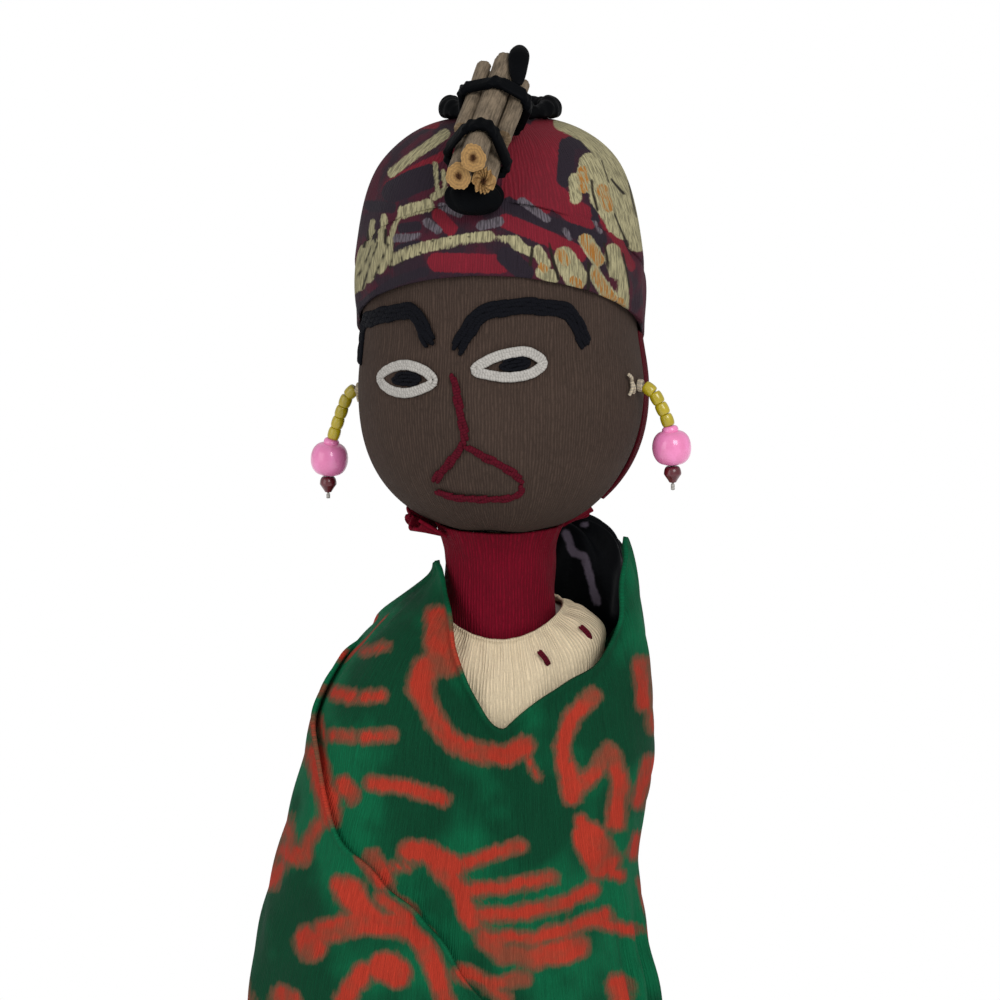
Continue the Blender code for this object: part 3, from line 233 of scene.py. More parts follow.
# Firewood's own frame: origin, turn about z and lean about x
BUNDLE_ORIGIN = (-0.0058, -0.0381, 0.2803)
BUNDLE_TURN = math.radians(-13.9)
BUNDLE_LEAN = math.radians(32)
STICK_RADIUS = 0.0024
STICK_LENGTH = 0.0312
STICK_CUT = math.tan(math.radians(24))
STICK_SHARES = (
    (-1.04, -0.62, 0.000, 1.000, 1.00),
    (0.38, 1.08, 0.013, 1.020, 1.02),
    (1.00, -1.04, 0.006, 0.960, 0.96),
    (2.05, 0.38, 0.282, 0.860, 0.66),
    (-1.35, 1.10, 0.295, 0.974, 0.58),
)
# Sticks: points across an end and down a side, how much end grain shows on the upper two, and
# which one is split
STICK_END_ROWS = 14
STICK_SIDE_ROWS = 60
UPPER_END_GRAIN = 0.25
SPLIT_STICK = 3
# Ties: their width and thickness, and each one's place along the sticks
TIE_WIDTH = 0.0028
TIE_THICKNESS = 0.0015
TIE_SHARES = (0.205, 0.647)
# The rear tie's loose tail: places across, along and up, with its half width there
TIE_TAIL_SHARES = (
    (2.30, 0.702, 1.75, 0.38),
    (1.92, 0.865, 2.00, 0.60),
    (1.72, 0.985, 2.22, 0.66),
    (1.45, 1.100, 2.02, 0.40),
)

# Embroidery: angles from the face's middle in degrees, and shares of the head's height
LEFT_BROW = (
    (-1, 0.498), (4, 0.541), (10, 0.586), (24, 0.603), (37, 0.597), (46, 0.579), (53.5, 0.504),
)
RIGHT_BROW = ((-60, 0.428), (-59, 0.52), (-46, 0.550), (-28, 0.576), (-19, 0.577), (-11.5, 0.506))
LEFT_EYE = (
    (7, 0.453), (13, 0.479), (20, 0.493), (28, 0.496), (34, 0.470), (29.5, 0.446), (21, 0.437),
    (13, 0.442),
)
RIGHT_EYE = (
    (-9.5, 0.423), (-14, 0.445), (-23, 0.453), (-32, 0.437), (-37, 0.412), (-31, 0.392),
    (-22, 0.389), (-14, 0.404),
)
LEFT_PUPIL = ((17, 0.464), (23, 0.469), (28.5, 0.471))
RIGHT_PUPIL = ((-29.5, 0.416), (-22, 0.422), (-15.5, 0.422))
NOSE = ((-1, 0.442), (0.3, 0.402), (1.6, 0.360), (3.2, 0.310), (3.6, 0.279))
# The mouth's three lines, in the photograph's pixels
MOUTH_LINES = (
    ((465, 443), (452, 460), (434, 481)),
    ((466, 444), (480, 454), (496, 462), (511, 471), (523, 481)),
    ((523, 484), (521, 491), (508, 497), (478, 498), (453, 496), (437, 490)),
)

# Points along a stitch, and how far its thread is lifted off the face
STITCH_POINTS = 9
STITCH_LIFT = 0.00015

# Earrings: the ear's angle in degrees, its share of the head's height, the thread's route
# outwards and up, and the number of small beads
EARRINGS = {
    "left": (70, 0.381, (
        (0.0000, 0.0000), (0.0010, 0.0000), (0.0029, -0.0008), (0.0046, -0.0034),
        (0.0063, -0.0068), (0.0071, -0.0096), (0.0073, -0.0122), (0.0075, -0.0160),
        (0.0077, -0.0220)), 4),
    "right": (-104, 0.338, (
        (0.0000, 0.0000), (0.0012, 0.0000), (0.0028, -0.0012), (0.0040, -0.0038),
        (0.0054, -0.0076), (0.0066, -0.0112), (0.0073, -0.0140), (0.0076, -0.0180),
        (0.0077, -0.0240)), 5),
}
THREAD_RADIUS = 0.00025
THREAD_KNOT_RADIUS = 0.0004
BEAD_BORE = 0.00055
FIRST_BEAD_START = 0.0016
BEAD_SPACING = 0.0003
SEED = (0.00135, 0.0022)
COLLAR_BEAD = (0.0017, 0.0014)
PINK_BEAD = (0.0040, 0.0060)
TIP_BEAD = (0.0018, 0.0034)
TIP_END_RADIUS = 0.0008
# How far the beads' rounded tops reach up over the gap above them
SEED_FULLNESS = 0.0003
PINK_FULLNESS = 0.0010
# The knot at the ear: its coil's radius and thread, the lean and length of its loose stitches, and
# where these start, forwards and up
COIL_RADIUS = 0.00095
KNOT_THREAD = 0.00036
KNOT_STITCHES = ((-1.2, 0.0028), (-1.9, 0.0030), (2.3, 0.0022))
KNOT_STARTS = {"left": (-0.0046, 0.0016), "right": (0.0, 0.0)}

# The photograph's view: the camera's target, its distance and rise, and what it sees there
TARGET = np.array((0.0, 0.0, 0.208))
DISTANCE = 0.56
RISE = math.radians(12)
VIEW_WIDTH = 0.21
PHOTO_SIDE = 1000
TO_CAMERA = np.array((0.0, -math.cos(RISE), math.sin(RISE)))
VIEW_UP = np.array((0.0, math.sin(RISE), math.cos(RISE)))
# One of its pixels at the target, in millimetres, and where a ray is followed, from the target
PIXEL = VIEW_WIDTH / PHOTO_SIDE / MM
RAY_SPAN = (-0.075, 0.02)

# Stage: half the floor's width, where it turns white, the lamps (place, power and size), what
# they light and the camera's sensor
FLOOR_REACH = 3.0
FLOOR_FADE = (0.15, 0.22)
LAMPS = (
    ("key", (0.35, -0.75, 0.75), 4.4, 0.45),
    ("fill", (-0.70, -0.50, 0.45), 1.5, 0.6),
)
LAMP_TARGET = (0, 0, 0.18)
SENSOR = 36

# Print: a depth that shows none, the margin in millimetres round a stroke, how far past the edge
# of what the photograph shows its drawing is carried, and the overlap there, as cosines
NO_PRINT = -9.0
PRINT_MARGIN = 3
PAST_EDGE = 0.28
EDGE_OVERLAP = 0.2
# The shawl's strokes again where the photograph shows none: turned and lowered at the sides and
# the back, past the angle that hides them, and once more below, from the heights given
SHAWL_COPIES = ((1.9, 0.004), (math.pi, -0.006), (-1.9, 0.002))
SHAWL_HIDDEN = 1.75
COPY_BELOW = 0.150
COPY_DROP = 0.052
FRONT_COPY_HEIGHTS = (0.100, 0.149)
FRONT_COPY_DROP = 0.051
# The headwrap's patches again on its back: how much wider, how far turned, and past which angle
WRAP_COPY = (1.15, 0.2)
WRAP_HIDDEN = 1.6

# Brush strokes of the shawl's print: width, then places, in the photograph's pixels
SHAWL_INK = (
    (24, (436, 618), (437, 630)), (34, (440, 638), (446, 660)), (26, (426, 668), (420, 690)),
    (20, (424, 700), (436, 722), (454, 743), (479, 753), (503, 756)), (20, (505, 756), (507, 757)),
    (20, (507, 756), (525, 746)), (6, (528, 759), (537, 777)), (9, (364, 652), (386, 646)),
    (14, (335, 693), (352, 697)), (13, (365, 697), (381, 695)), (12, (333, 735), (353, 737)),
    (13, (365, 737), (392, 735)), (18, (343, 784), (352, 795)),
    (15, (372, 783), (405, 788), (444, 799)), (6, (316, 716), (323, 740)),
    (14, (317, 752), (326, 786), (332, 796), (335, 820)), (12, (326, 823), (313, 841), (309, 854)),
    (8, (292, 814), (295, 844)), (20, (294, 852), (306, 856)), (12, (286, 866), (277, 884)),
    (16, (346, 882), (362, 886)), (24, (353, 887), (375, 915)), (15, (372, 857), (387, 881)),
    (32, (313, 940), (318, 944)), (24, (332, 930), (369, 921), (405, 924)),
    (20, (405, 927), (424, 939), (436, 961), (448, 998)), (14, (387, 896), (411, 915)),
    (30, (388, 965), (400, 972)), (20, (369, 970), (350, 1000)), (24, (285, 996), (297, 1000)),
    (5, (249, 961), (258, 1000)), (8, (390, 866), (408, 868)),
    (22, (408, 851), (430, 854), (454, 866)), (14, (466, 863), (494, 854), (520, 846)),
    (18, (436, 866), (457, 884), (466, 906), (473, 921)), (14, (466, 890), (509, 887), (549, 877)),
    (15, (466, 915), (515, 915), (561, 903), (595, 889)),
    (14, (485, 939), (531, 939), (571, 927), (607, 915)), (18, (485, 939), (503, 955), (534, 958)),
    (24, (534, 958), (577, 946)), (14, (463, 970), (491, 985), (525, 979)),
    (12, (491, 988), (506, 1000)), (12, (592, 921), (630, 930)),
    (17, (592, 696), (571, 719), (563, 746), (566, 771)), (22, (569, 771), (572, 795)),
    (15, (574, 795), (595, 771), (609, 750)), (16, (610, 753), (620, 786), (615, 823)),
    (34, (590, 838), (602, 862)), (14, (582, 822), (586, 830)), (12, (607, 869), (618, 875)),
    (16, (641, 664), (644, 704)), (6, (650, 710), (653, 731)), (15, (650, 762), (638, 802)),
    (12, (635, 838), (632, 854)), (7, (641, 881), (644, 909)), (22, (618, 984), (620, 1000)),
)
# Patches of the headwrap's print, in the same pixels, from the lowest layer to the highest; the
# slits are dark threads between the pale ones. One dark stroke is partly painted shadow along a
# fold.
WRAP_LAYERS = {
    "red": (
        (34, (524, 140), (518, 190)), (34, (545, 133), (538, 200)), (16, (560, 128), (574, 136)),
        (26, (548, 190), (584, 218)), (12, (423, 123), (434, 123)), (9, (388, 186), (451, 151)),
        (20, (438, 262), (500, 264)), (14, (438, 214), (452, 230)),
        (16, (506, 221), (547, 238), (580, 254)), (12, (603, 216), (617, 240), (630, 266)),
    ),
    "dark": (
        (17, (567, 146), (566, 178)), (12, (570, 142), (603, 148)),
        # The first stroke here runs along the crown's lower edge: dark print and painted shadow of
        # that fold
        (15, (508, 204), (547, 222), (599, 240)), (20, (506, 256), (524, 272)),
        (10, (358, 310), (391, 283), (425, 271)), (10, (394, 247), (420, 246)),
        (11, (404, 228), (418, 226)), (24, (394, 192), (430, 176)), (12, (370, 206), (392, 208)),
        (8, (595, 204), (596, 221)),
    ),
    "grey": (
        (8, (521, 201), (547, 219)), (10, (480, 226), (500, 221)), (9, (396, 238), (420, 237)),
        (9, (427, 222), (439, 231)), (8, (441, 206), (460, 214)), (6, (595, 223), (599, 231)),
        (6, (565, 230), (570, 238)),
    ),
    "cream": (
        (11, (393, 173), (417, 154), (445, 134)), (5, (435, 164), (438, 195)),
        (5, (443, 171), (445, 190)), (13, (405, 212), (428, 205)), (8, (434, 197), (447, 190)),
        (6, (404, 210), (397, 222), (393, 235)), (7, (372, 222), (368, 240), (357, 291)),
        (7, (385, 217), (382, 240), (364, 284)), (15, (364, 252), (360, 284)),
        (15, (376, 246), (369, 276)), (12, (386, 248), (380, 268)), (8, (390, 240), (390, 262)),
        (12, (392, 260), (408, 253), (425, 247), (445, 243), (461, 240), (490, 236)),
        (10, (500, 240), (516, 240)), (10, (515, 245), (531, 252)), (12, (537, 250), (544, 264)),
        (14, (542, 272), (552, 277)), (24, (564, 258), (575, 277)), (15, (585, 241), (598, 260)),
        (14, (611, 250), (615, 272)), (15, (594, 274), (611, 298)), (10, (619, 266), (624, 311)),
        (18, (562, 122), (586, 134), (607, 157), (628, 192), (637, 230)),
        (18, (588, 162), (612, 160)), (40, (597, 174), (616, 190)), (32, (606, 196), (624, 224)),
        (13, (576, 178), (577, 197)), (16, (632, 205), (638, 244)),
    ),
    "gold": (
        (10, (583, 170), (585, 188)), (13, (603, 190), (609, 206)), (12, (584, 239), (599, 261)),
        (11, (559, 252), (565, 261)), (8, (541, 266), (544, 269)), (9, (573, 280), (579, 285)),
        (11, (595, 275), (612, 299)), (6, (620, 300), (624, 310)),
    ),
    "slit": (
        (3, (366, 231), (364, 247)), (3.5, (376, 231), (376, 241)), (3.5, (387, 230), (386, 243)),
        (2.6, (379, 243), (371, 262), (364, 289)), (2.2, (371, 246), (362, 272), (355, 293)),
        (2.6, (389, 244), (381, 262), (376, 277)), (2.6, (394, 252), (389, 269)),
        (2.6, (402, 252), (404, 264)), (2.6, (416, 246), (424, 256)),
        (2.6, (433, 240), (443, 251)), (2.6, (451, 238), (460, 249)),
        (2.6, (468, 236), (477, 247)), (4, (548, 244), (552, 260), (558, 279)),
        (4, (588, 262), (587, 293)), (4, (532, 243), (530, 265)), (3, (603, 243), (609, 270)),
        (3, (592, 180), (594, 195), (598, 210)), (3, (613, 178), (626, 193)),
        (2.6, (616, 213), (630, 246)), (3, (620, 253), (627, 288)), (2.2, (602, 160), (610, 182)),
        (2.2, (628, 180), (637, 217)),
    ),
}
# Painted highlight: grey streaks on the black bundle behind the neck, in the same pixels
BUNDLE_HIGHLIGHTS = (
    (8, (566, 533), (573, 553), (584, 556), (597, 603)),
    (5, (582, 525), (586, 525)),
)


def direction(angle):
    """The level direction at an angle from -Y towards +X."""
    return np.stack([np.sin(angle), -np.cos(angle), np.zeros_like(angle)], axis=-1)


def up(height):
    """The point of the z axis at each height."""
    return np.asarray(height)[..., None] * np.array((0.0, 0.0, 1.0))


def ring_points(turn, reach, height):
    """Points at a reach from the z axis and a height, at each angle."""
    reach = np.asarray(reach, float) + 0 * turn
    return direction(turn + 0 * reach) * reach[..., None] + up(height + 0 * reach)


def around(count):
    """Evenly spaced angles once round, from the back."""
    return np.linspace(-math.pi, math.pi, count, endpoint=False)


def ease(share):
    """A share from 0 to 1 with a level start and end: 3 s squared less 2 s cubed."""
    share = np.clip(share, 0, 1)
    return share * share * (3 - 2 * share)


def squared(reach, power):
    """How wide a rounded outline still is at a share of the way to its end."""
    return np.maximum(0, 1 - np.clip(reach, 0, 1) ** power) ** (1 / power)


def hill(distance, width):
    """A smooth bump: 1 at its middle, and a third of that one width away."""
    return np.exp(-((distance / width) ** 2))


def softened(wave, power):
    """A wave made flatter at its heights, with its sign kept."""
    return np.sign(wave) * np.abs(wave) ** power


def curve_through(x, known, values):
    """Values read from a smooth curve through known places: cubic pieces with shared slopes."""
    known, values = np.asarray(known, float), np.asarray(values, float)
    slopes = np.gradient(values, known)
    i = np.clip(np.searchsorted(known, x, side="right") - 1, 0, len(known) - 2)
    width = known[i + 1] - known[i]
    t = np.clip((x - known[i]) / width, 0, 1)
    return (
        (2 * t**3 - 3 * t**2 + 1) * values[i]
        + (t**3 - 2 * t**2 + t) * width * slopes[i]
        + (3 * t**2 - 2 * t**3) * values[i + 1]
        + (t**3 - t**2) * width * slopes[i + 1]
    )


def lengths_along(path):
    """The length of a path up to each of its points."""
    return np.concatenate([[0], np.cumsum(np.linalg.norm(np.diff(path, axis=0), axis=1))])


def route(points, count, closed=False):
    """Evenly spaced points along a smooth curve through the given ones."""
    given = np.asarray(points, float)
    if closed:
        given = np.vstack([given[-2:], given, given[:3]])
    place = np.arange(len(given), dtype=float)
    start, end = (2, len(given) - 3) if closed else (0, len(given) - 1)
    fine = np.linspace(start, end, 40 * len(given))
    line = np.stack([curve_through(fine, place, column) for column in given.T], 1)
    along = lengths_along(line[:, :3])
    spots = np.linspace(0, along[-1], count, endpoint=not closed)
    return np.stack([np.interp(spots, along, column) for column in line.T], 1)


def distances(points, path):
    """The distance from each point to the nearest place on a path of straight pieces."""
    nearest = np.full(points.shape[:-1], 1e9)
    for a, b in zip(path, path[1:]):
        span = b - a
        share = np.clip((points - a) @ span / max(float(span @ span), 1e-12), 0, 1)
        gap = np.linalg.norm(points - a - share[..., None] * span, axis=-1)
        nearest = np.minimum(nearest, gap)
    return nearest


def normals_of(points, closed=True):
    """The outward directions of a grid whose rows run down and columns towards +X in front."""
    down = np.gradient(points, axis=0)
    if closed:
        beside = np.roll(points, -1, axis=1) - np.roll(points, 1, axis=1)
    else:
        beside = np.gradient(points, axis=1)
    normal = np.cross(down, beside)
    return normal / np.maximum(np.linalg.norm(normal, axis=-1, keepdims=True), 1e-12)


def pushed(points, amount, closed=True):
    """The points of a grid moved out along its normals."""
    amount = np.asarray(amount, float) + np.zeros(points.shape[:2])
    return points + normals_of(points, closed) * amount[..., None]


def quads(name, points, corners, uv, attributes=None):
    """A mesh of quads, with a UV for each corner and named numbers for each point."""
    mesh = bpy.data.meshes.new(name)
    mesh.vertices.add(len(points))
    mesh.vertices.foreach_set("co", np.ascontiguousarray(points, np.float32).ravel())
    mesh.loops.add(corners.size)
    mesh.loops.foreach_set("vertex_index", corners.astype(np.int32).ravel())
    mesh.polygons.add(len(corners))
    mesh.polygons.foreach_set("loop_start", np.arange(0, corners.size, 4, dtype=np.int32))
    mesh.update(calc_edges=True)
    layer = mesh.uv_layers.new(name="UVMap")
    layer.data.foreach_set("uv", np.ascontiguousarray(uv, np.float32).ravel())
    for key, values in (attributes or {}).items():
        layer = mesh.attributes.new(key, "FLOAT", "POINT")
        layer.data.foreach_set("value", np.ascontiguousarray(values, np.float32).ravel())
    mesh.validate()
    return mesh


def closed_up(mesh, reach=0.000002, solid=True):
    """The mesh with points that lie on each other made one, and a solid's faces turned out."""
    shape = bmesh.new()
    shape.from_mesh(mesh)
    bmesh.ops.remove_doubles(shape, verts=shape.verts, dist=reach)
    if solid:
        bmesh.ops.recalc_face_normals(shape, faces=shape.faces)
    shape.to_mesh(mesh)
    shape.free()
    return mesh


def cloth(name, points, closed=True, attributes=None, solid=False):
    """A mesh over a grid of points whose rows run down and whose columns run towards +X in front.
    Its UV is in millimetres: the mean length round the rows, and the length down. A solid's first
    and last rows meet, or each is one point."""
    rows, columns = points.shape[:2]
    spans = columns if closed else columns - 1
    row, column = np.meshgrid(np.arange(rows - 1), np.arange(spans), indexing="ij")
    beside = (column + 1) % columns
    corners = np.stack(
        [
            row * columns + column,
            (row + 1) * columns + column,
            (row + 1) * columns + beside,
            row * columns + beside,
        ],
        -1,
    ).reshape(-1, 4)
    ring = np.roll(points, -1, axis=1) if closed else points[:, 1:]
    steps = np.linalg.norm(ring - points[:, :spans], axis=-1).mean(axis=0) / MM
    across = np.concatenate([[0], np.cumsum(steps)])
    drops = np.linalg.norm(np.diff(points, axis=0), axis=-1).mean(axis=1) / MM
    along = -np.concatenate([[0], np.cumsum(drops)])
    u = np.stack([across[column], across[column], across[column + 1], across[column + 1]], -1)
    v = np.stack([along[row], along[row + 1], along[row + 1], along[row]], -1)
    uv = np.stack([u, v], -1).reshape(-1, 2)
    mesh = quads(name, points.reshape(-1, 3), corners, uv, attributes)
    return closed_up(mesh) if solid else mesh


def thicken(obj, thickness):
    """Gives a surface its cloth thickness, inwards."""
    modifier = obj.modifiers.new("thickness", "SOLIDIFY")
    modifier.thickness = thickness
    modifier.offset = -1
    return obj


def strands(name, paths, radii, sides=6, normals=None, flatten=1.0):
    """Round threads: at each point of each path a ring of points at the path's radius there, in
    the plane of a normal and of the direction across it. The UV runs round and along."""
    paths = np.asarray(paths, float)
    paths = paths[None] if paths.ndim == 2 else paths
    count, rings = paths.shape[:2]
    tangent = np.gradient(paths, axis=1)
    tangent /= np.maximum(np.linalg.norm(tangent, axis=-1, keepdims=True), 1e-12)
    if normals is None:
        normals = np.broadcast_to(np.array((0.31, 0.53, 0.79)), paths.shape)
    normals = np.asarray(normals, float).reshape(paths.shape)
    normals = normals - tangent * (normals * tangent).sum(-1, keepdims=True)
    normals = normals / np.maximum(np.linalg.norm(normals, axis=-1, keepdims=True), 1e-12)
    side = np.cross(tangent, normals)
    turn = np.linspace(0, 2 * math.pi, sides, endpoint=False)[:, None]
    ring = normals[:, :, None] * np.sin(turn) * flatten + side[:, :, None] * np.cos(turn)
    radii = np.broadcast_to(np.asarray(radii, float), (count, rings)).copy()
    radii[:, [0, -1]] = 0
    points = paths[:, :, None] + ring * radii[:, :, None, None]
    strand, place, corner = np.meshgrid(
        np.arange(count), np.arange(rings - 1), np.arange(sides), indexing="ij"
    )
    beside = (corner + 1) % sides
    base = (strand * rings + place) * sides
    corners = np.stack(
        [base + corner, base + beside, base + sides + beside, base + sides + corner], -1
    ).reshape(-1, 4)
    steps = np.linalg.norm(np.diff(paths, axis=1), axis=-1)
    along = np.concatenate([np.zeros((count, 1)), np.cumsum(steps, 1)], 1) / MM
    low, high = along[strand, place], along[strand, place + 1]
    u = np.stack([corner, corner + 1, corner + 1, corner], -1) / sides
    v = np.stack([low, low, high, high], -1)
    uv = np.stack([u, v], -1).reshape(-1, 2)
    return closed_up(quads(name, points.reshape(-1, 3), corners, uv), 0.000001)


# Shapes of the frame


def head_radius(height):
    """The face's radius: the cheek's, eased to the brow's, squared off at crown and chin."""
    blend = ease((height - CHEEK_HEIGHT) / CHEEK_BLEND)
    radius = CHEEK_RADIUS + (BROW_RADIUS - CHEEK_RADIUS) * blend
    radius = radius * squared((height - CROWN_START) / (HEAD_TOP - CROWN_START), CROWN_SQUARENESS)
    return radius * squared((CHEEK_HEIGHT - height) / (CHEEK_HEIGHT - HEAD_BOTTOM), CHIN_SQUARENESS)


def band_edge(angle, shares):
    """The height of one of the band's edges: a level ring tipped by a cosine of the angle."""
    rise, swing = shares
    return HEAD_BOTTOM + HEAD_HEIGHT * (rise + swing * np.cos(angle - WRAP_HIGH_SIDE))


def crown_radius(height):
    """The headwrap's radius above the band: a level side squared off at the top."""
    share = (height - CROWN_START) / (WRAP_TOP - CROWN_START)
    return WRAP_RADIUS * squared(share, CROWN_SQUARENESS)


def crown_height(reach):
    """The headwrap's height at a distance from the axis."""
    return CROWN_START + (WRAP_TOP - CROWN_START) * squared(reach / WRAP_RADIUS, CROWN_SQUARENESS)


def wrap_radius(angle, height):
    """The headwrap's reach: its crown's, or its band's below the crown's edge."""
    band = head_radius(height) + BAND_THICKNESS
    return np.where(height > band_edge(angle, BAND_HIGH_SHARES), crown_radius(height), band)


def shawl_share(height):
    """A height as a share of the shawl's, from its hem."""
    return np.clip((height - SHAWL_HEM) / (SHAWL_TOP - SHAWL_HEM), 0, 1)


def shawl_radius(angle, height):
    """The shawl's reach: a ring of four unlike quarters, whose sizes change down the shawl."""
    table = np.array(SHAWL_SHARES)[::-1]
    share = shawl_share(height)
    right, left, front, back = (
        curve_through(share, table[:, 0], table[:, i + 1]) * SHAWL_REACH[i] for i in range(4)
    )
    side, fore = np.sin(angle), np.cos(angle)
    across = np.abs(side) / np.where(side > 0, left, right)
    along = np.abs(fore) / np.where(fore > 0, front, back)
    power = np.where(fore > 0, SHAWL_FRONT_SQUARENESS, SHAWL_BACK_SQUARENESS)
    return (across**power + along**power) ** (-1 / power)


def shawl_folds(angle, height):
    """How far the shawl's folds stand out: pleats with grooves between them at the lower left
    front, long soft waves and fine level ones elsewhere."""
    share, degrees = shawl_share(height), np.degrees(angle)
    deep = ease((0.52 - share) / 0.14)
    pleats = sum(hill(degrees - middle, half) for middle, half in SHAWL_PLEATS)
    grooves = sum(hill(degrees - middle, GROOVE_WIDTH) for middle in SHAWL_GROOVES)
    fold = deep * (PLEAT_HEIGHT * pleats - GROOVE_DEPTH * grooves)
    low = ease((0.95 - share) / 0.5)
    fold = fold + 0.0005 * low * np.sin(9 * angle + 5 * share + 1.4)
    fold = fold + 0.0003 * low * np.sin(23 * angle - 9 * share + 2 * np.sin(2 * angle))
    return fold + 0.00022 * np.sin(60 * share + 3 * np.sin(4 * angle) + 6 * angle)


def shawl_edge(angle, shares):
    """The height of one of the shawl's edges at an angle."""
    table = np.array(shares)
    share = curve_through(np.degrees(angle), table[:, 0], table[:, 1])
    return SHAWL_HEM + share * (SHAWL_TOP - SHAWL_HEM)


def outline(radius, top, bottom):
    """A turned shape's outline down from its top: the length along it, its reach and height."""
    share = np.linspace(0, 1, 4001)
    share = share**3 / (share**3 + (1 - share) ** 3)
    height = top + (bottom - top) * share
    reach = radius(height)
    return lengths_along(np.stack([reach, height], 1)), reach, height


def down_outline(shape, turn, first, last, rows):
    """Rings of points down a turned shape, evenly spaced from one height to another."""
    along, reach, height = shape
    start, end = (np.interp(-np.asarray(edge), -height, along) for edge in (first, last))
    places = start + (end - start) * np.linspace(0, 1, rows)[:, None]
    return ring_points(turn, np.interp(places, along, reach), np.interp(places, along, height))


def rounded(centre, half, power, rows=90, columns=ROUNDED_COLUMNS):
    """A rounded box: in each direction the point where |x/a|, |y/b| and |z/c|, each to a power,
    add up to 1."""
    tilt = np.linspace(math.pi / 2, -math.pi / 2, rows)[:, None]
    away = direction(around(columns)[None] + 0 * tilt) * np.cos(tilt)[..., None]
    away = away + up(np.sin(tilt) + 0 * around(columns))
    reach = (np.abs(away) ** power).sum(-1, keepdims=True) ** (-1 / power)
    return np.array(centre) + away * reach * np.array(half)


def on_head(angle, share):
    """Places on the face: angles from its middle in degrees, shares of the head's height."""
    turn = np.radians(np.asarray(angle, float) + FACE_TURN)
    height = HEAD_BOTTOM + np.asarray(share, float) * HEAD_HEIGHT
    return ring_points(turn, head_radius(height), height)


def face_reach(angle, height):
    """The face's reach at an angle and a height, the same all round."""
    return head_radius(height)


def head_normal(points):
    """The outward direction of the head's surface at points on it."""
    turn = np.arctan2(points[..., 0], -points[..., 1])
    height, step = points[..., 2], 0.0002
    slope = (head_radius(height + step) - head_radius(height - step)) / (2 * step)
    normal = direction(turn) - up(slope)
    return normal / np.linalg.norm(normal, axis=-1, keepdims=True)


def seen_on(pixels, radius):
    """Where the camera's rays through pixels of the photograph first meet a surface given by its
    reach at an angle and height, or else pass nearest to it."""
    pixels = np.asarray(pixels, float)
    scale = VIEW_WIDTH / PHOTO_SIDE / DISTANCE
    ray = -TO_CAMERA + VIEW_UP * ((PHOTO_SIDE / 2 - pixels[:, 1]) * scale)[:, None]
    ray = ray + np.array((1.0, 0, 0)) * ((pixels[:, 0] - PHOTO_SIDE / 2) * scale)[:, None]
    steps = DISTANCE + np.linspace(*RAY_SPAN, 1200)
    spots = TARGET + TO_CAMERA * DISTANCE + ray[:, None] * steps[:, None]
    reach = np.hypot(spots[..., 0], spots[..., 1])
    outside = reach - radius(np.arctan2(spots[..., 0], -spots[..., 1]), spots[..., 2])
    first = np.argmax(outside < 0, axis=1)
    first = np.where((outside < 0).any(axis=1), first, np.argmin(outside, axis=1))
    return spots[np.arange(len(pixels)), first]


def pixels_of(points):
    """Where points appear in the photograph."""
    away = points - TARGET - TO_CAMERA * DISTANCE
    scale = DISTANCE / -(away @ TO_CAMERA) * PHOTO_SIDE / VIEW_WIDTH
    middle = PHOTO_SIDE / 2
    return np.stack([middle + away[..., 0] * scale, middle - away @ VIEW_UP * scale], -1)


def print_paths(strokes, radius, moved):
    """The strokes laid on a surface: half width in millimetres, path, and the pixels it was drawn
    at. They are laid where the photograph shows them, then again turned round and shifted, to
    print what it doesn't show."""
    paths = []
    for width, *pixels in strokes:
        half = width / 2 * PIXEL
        path = seen_on(pixels, radius)
        paths.append((half, path, np.array(pixels, float)))
        for turn, height in moved(np.arctan2(path[:, 0], -path[:, 1]), path[:, 2]):
            paths.append((half, ring_points(turn, radius(turn, height), height), None))
    return paths


def hidden(turn, edge):
    """Whether a whole stroke lies past an angle on either side, and doesn't cross the back."""
    return (np.abs(turn) > edge).all() and np.ptp(turn) < 1


def shawl_copies(turn, height):
    """Turned and lowered copies of a stroke, kept where the photograph doesn't see the shawl."""
    for shift, drop in SHAWL_COPIES:
        place = (turn + shift + math.pi) % (2 * math.pi) - math.pi
        if hidden(place, SHAWL_HIDDEN):
            yield place, height - drop
            if height.max() < COPY_BELOW:
                yield place, height - drop - COPY_DROP
    low, high = FRONT_COPY_HEIGHTS
    if height.max() < high and height.min() > low:
        yield -turn, height - FRONT_COPY_DROP


def wrap_copies(turn, height):
    """A turned copy of a patch of the headwrap, at the same share of its height, on the back."""
    low = band_edge(turn, BAND_LOW_SHARES)
    share = (height - low) / (WRAP_TOP - low)
    wider, shift = WRAP_COPY
    place = (turn * wider + shift) % (2 * math.pi) - math.pi
    low = band_edge(place, BAND_LOW_SHARES)
    if hidden(place, WRAP_HIDDEN):
        yield place, low + share * (WRAP_TOP - low)


def near_to(points, path, margin):
    """Whether each point lies in a path's box, widened by a margin."""
    low, high = path.min(axis=0) - margin, path.max(axis=0) + margin
    return ((points > low) & (points < high)).all(axis=1)


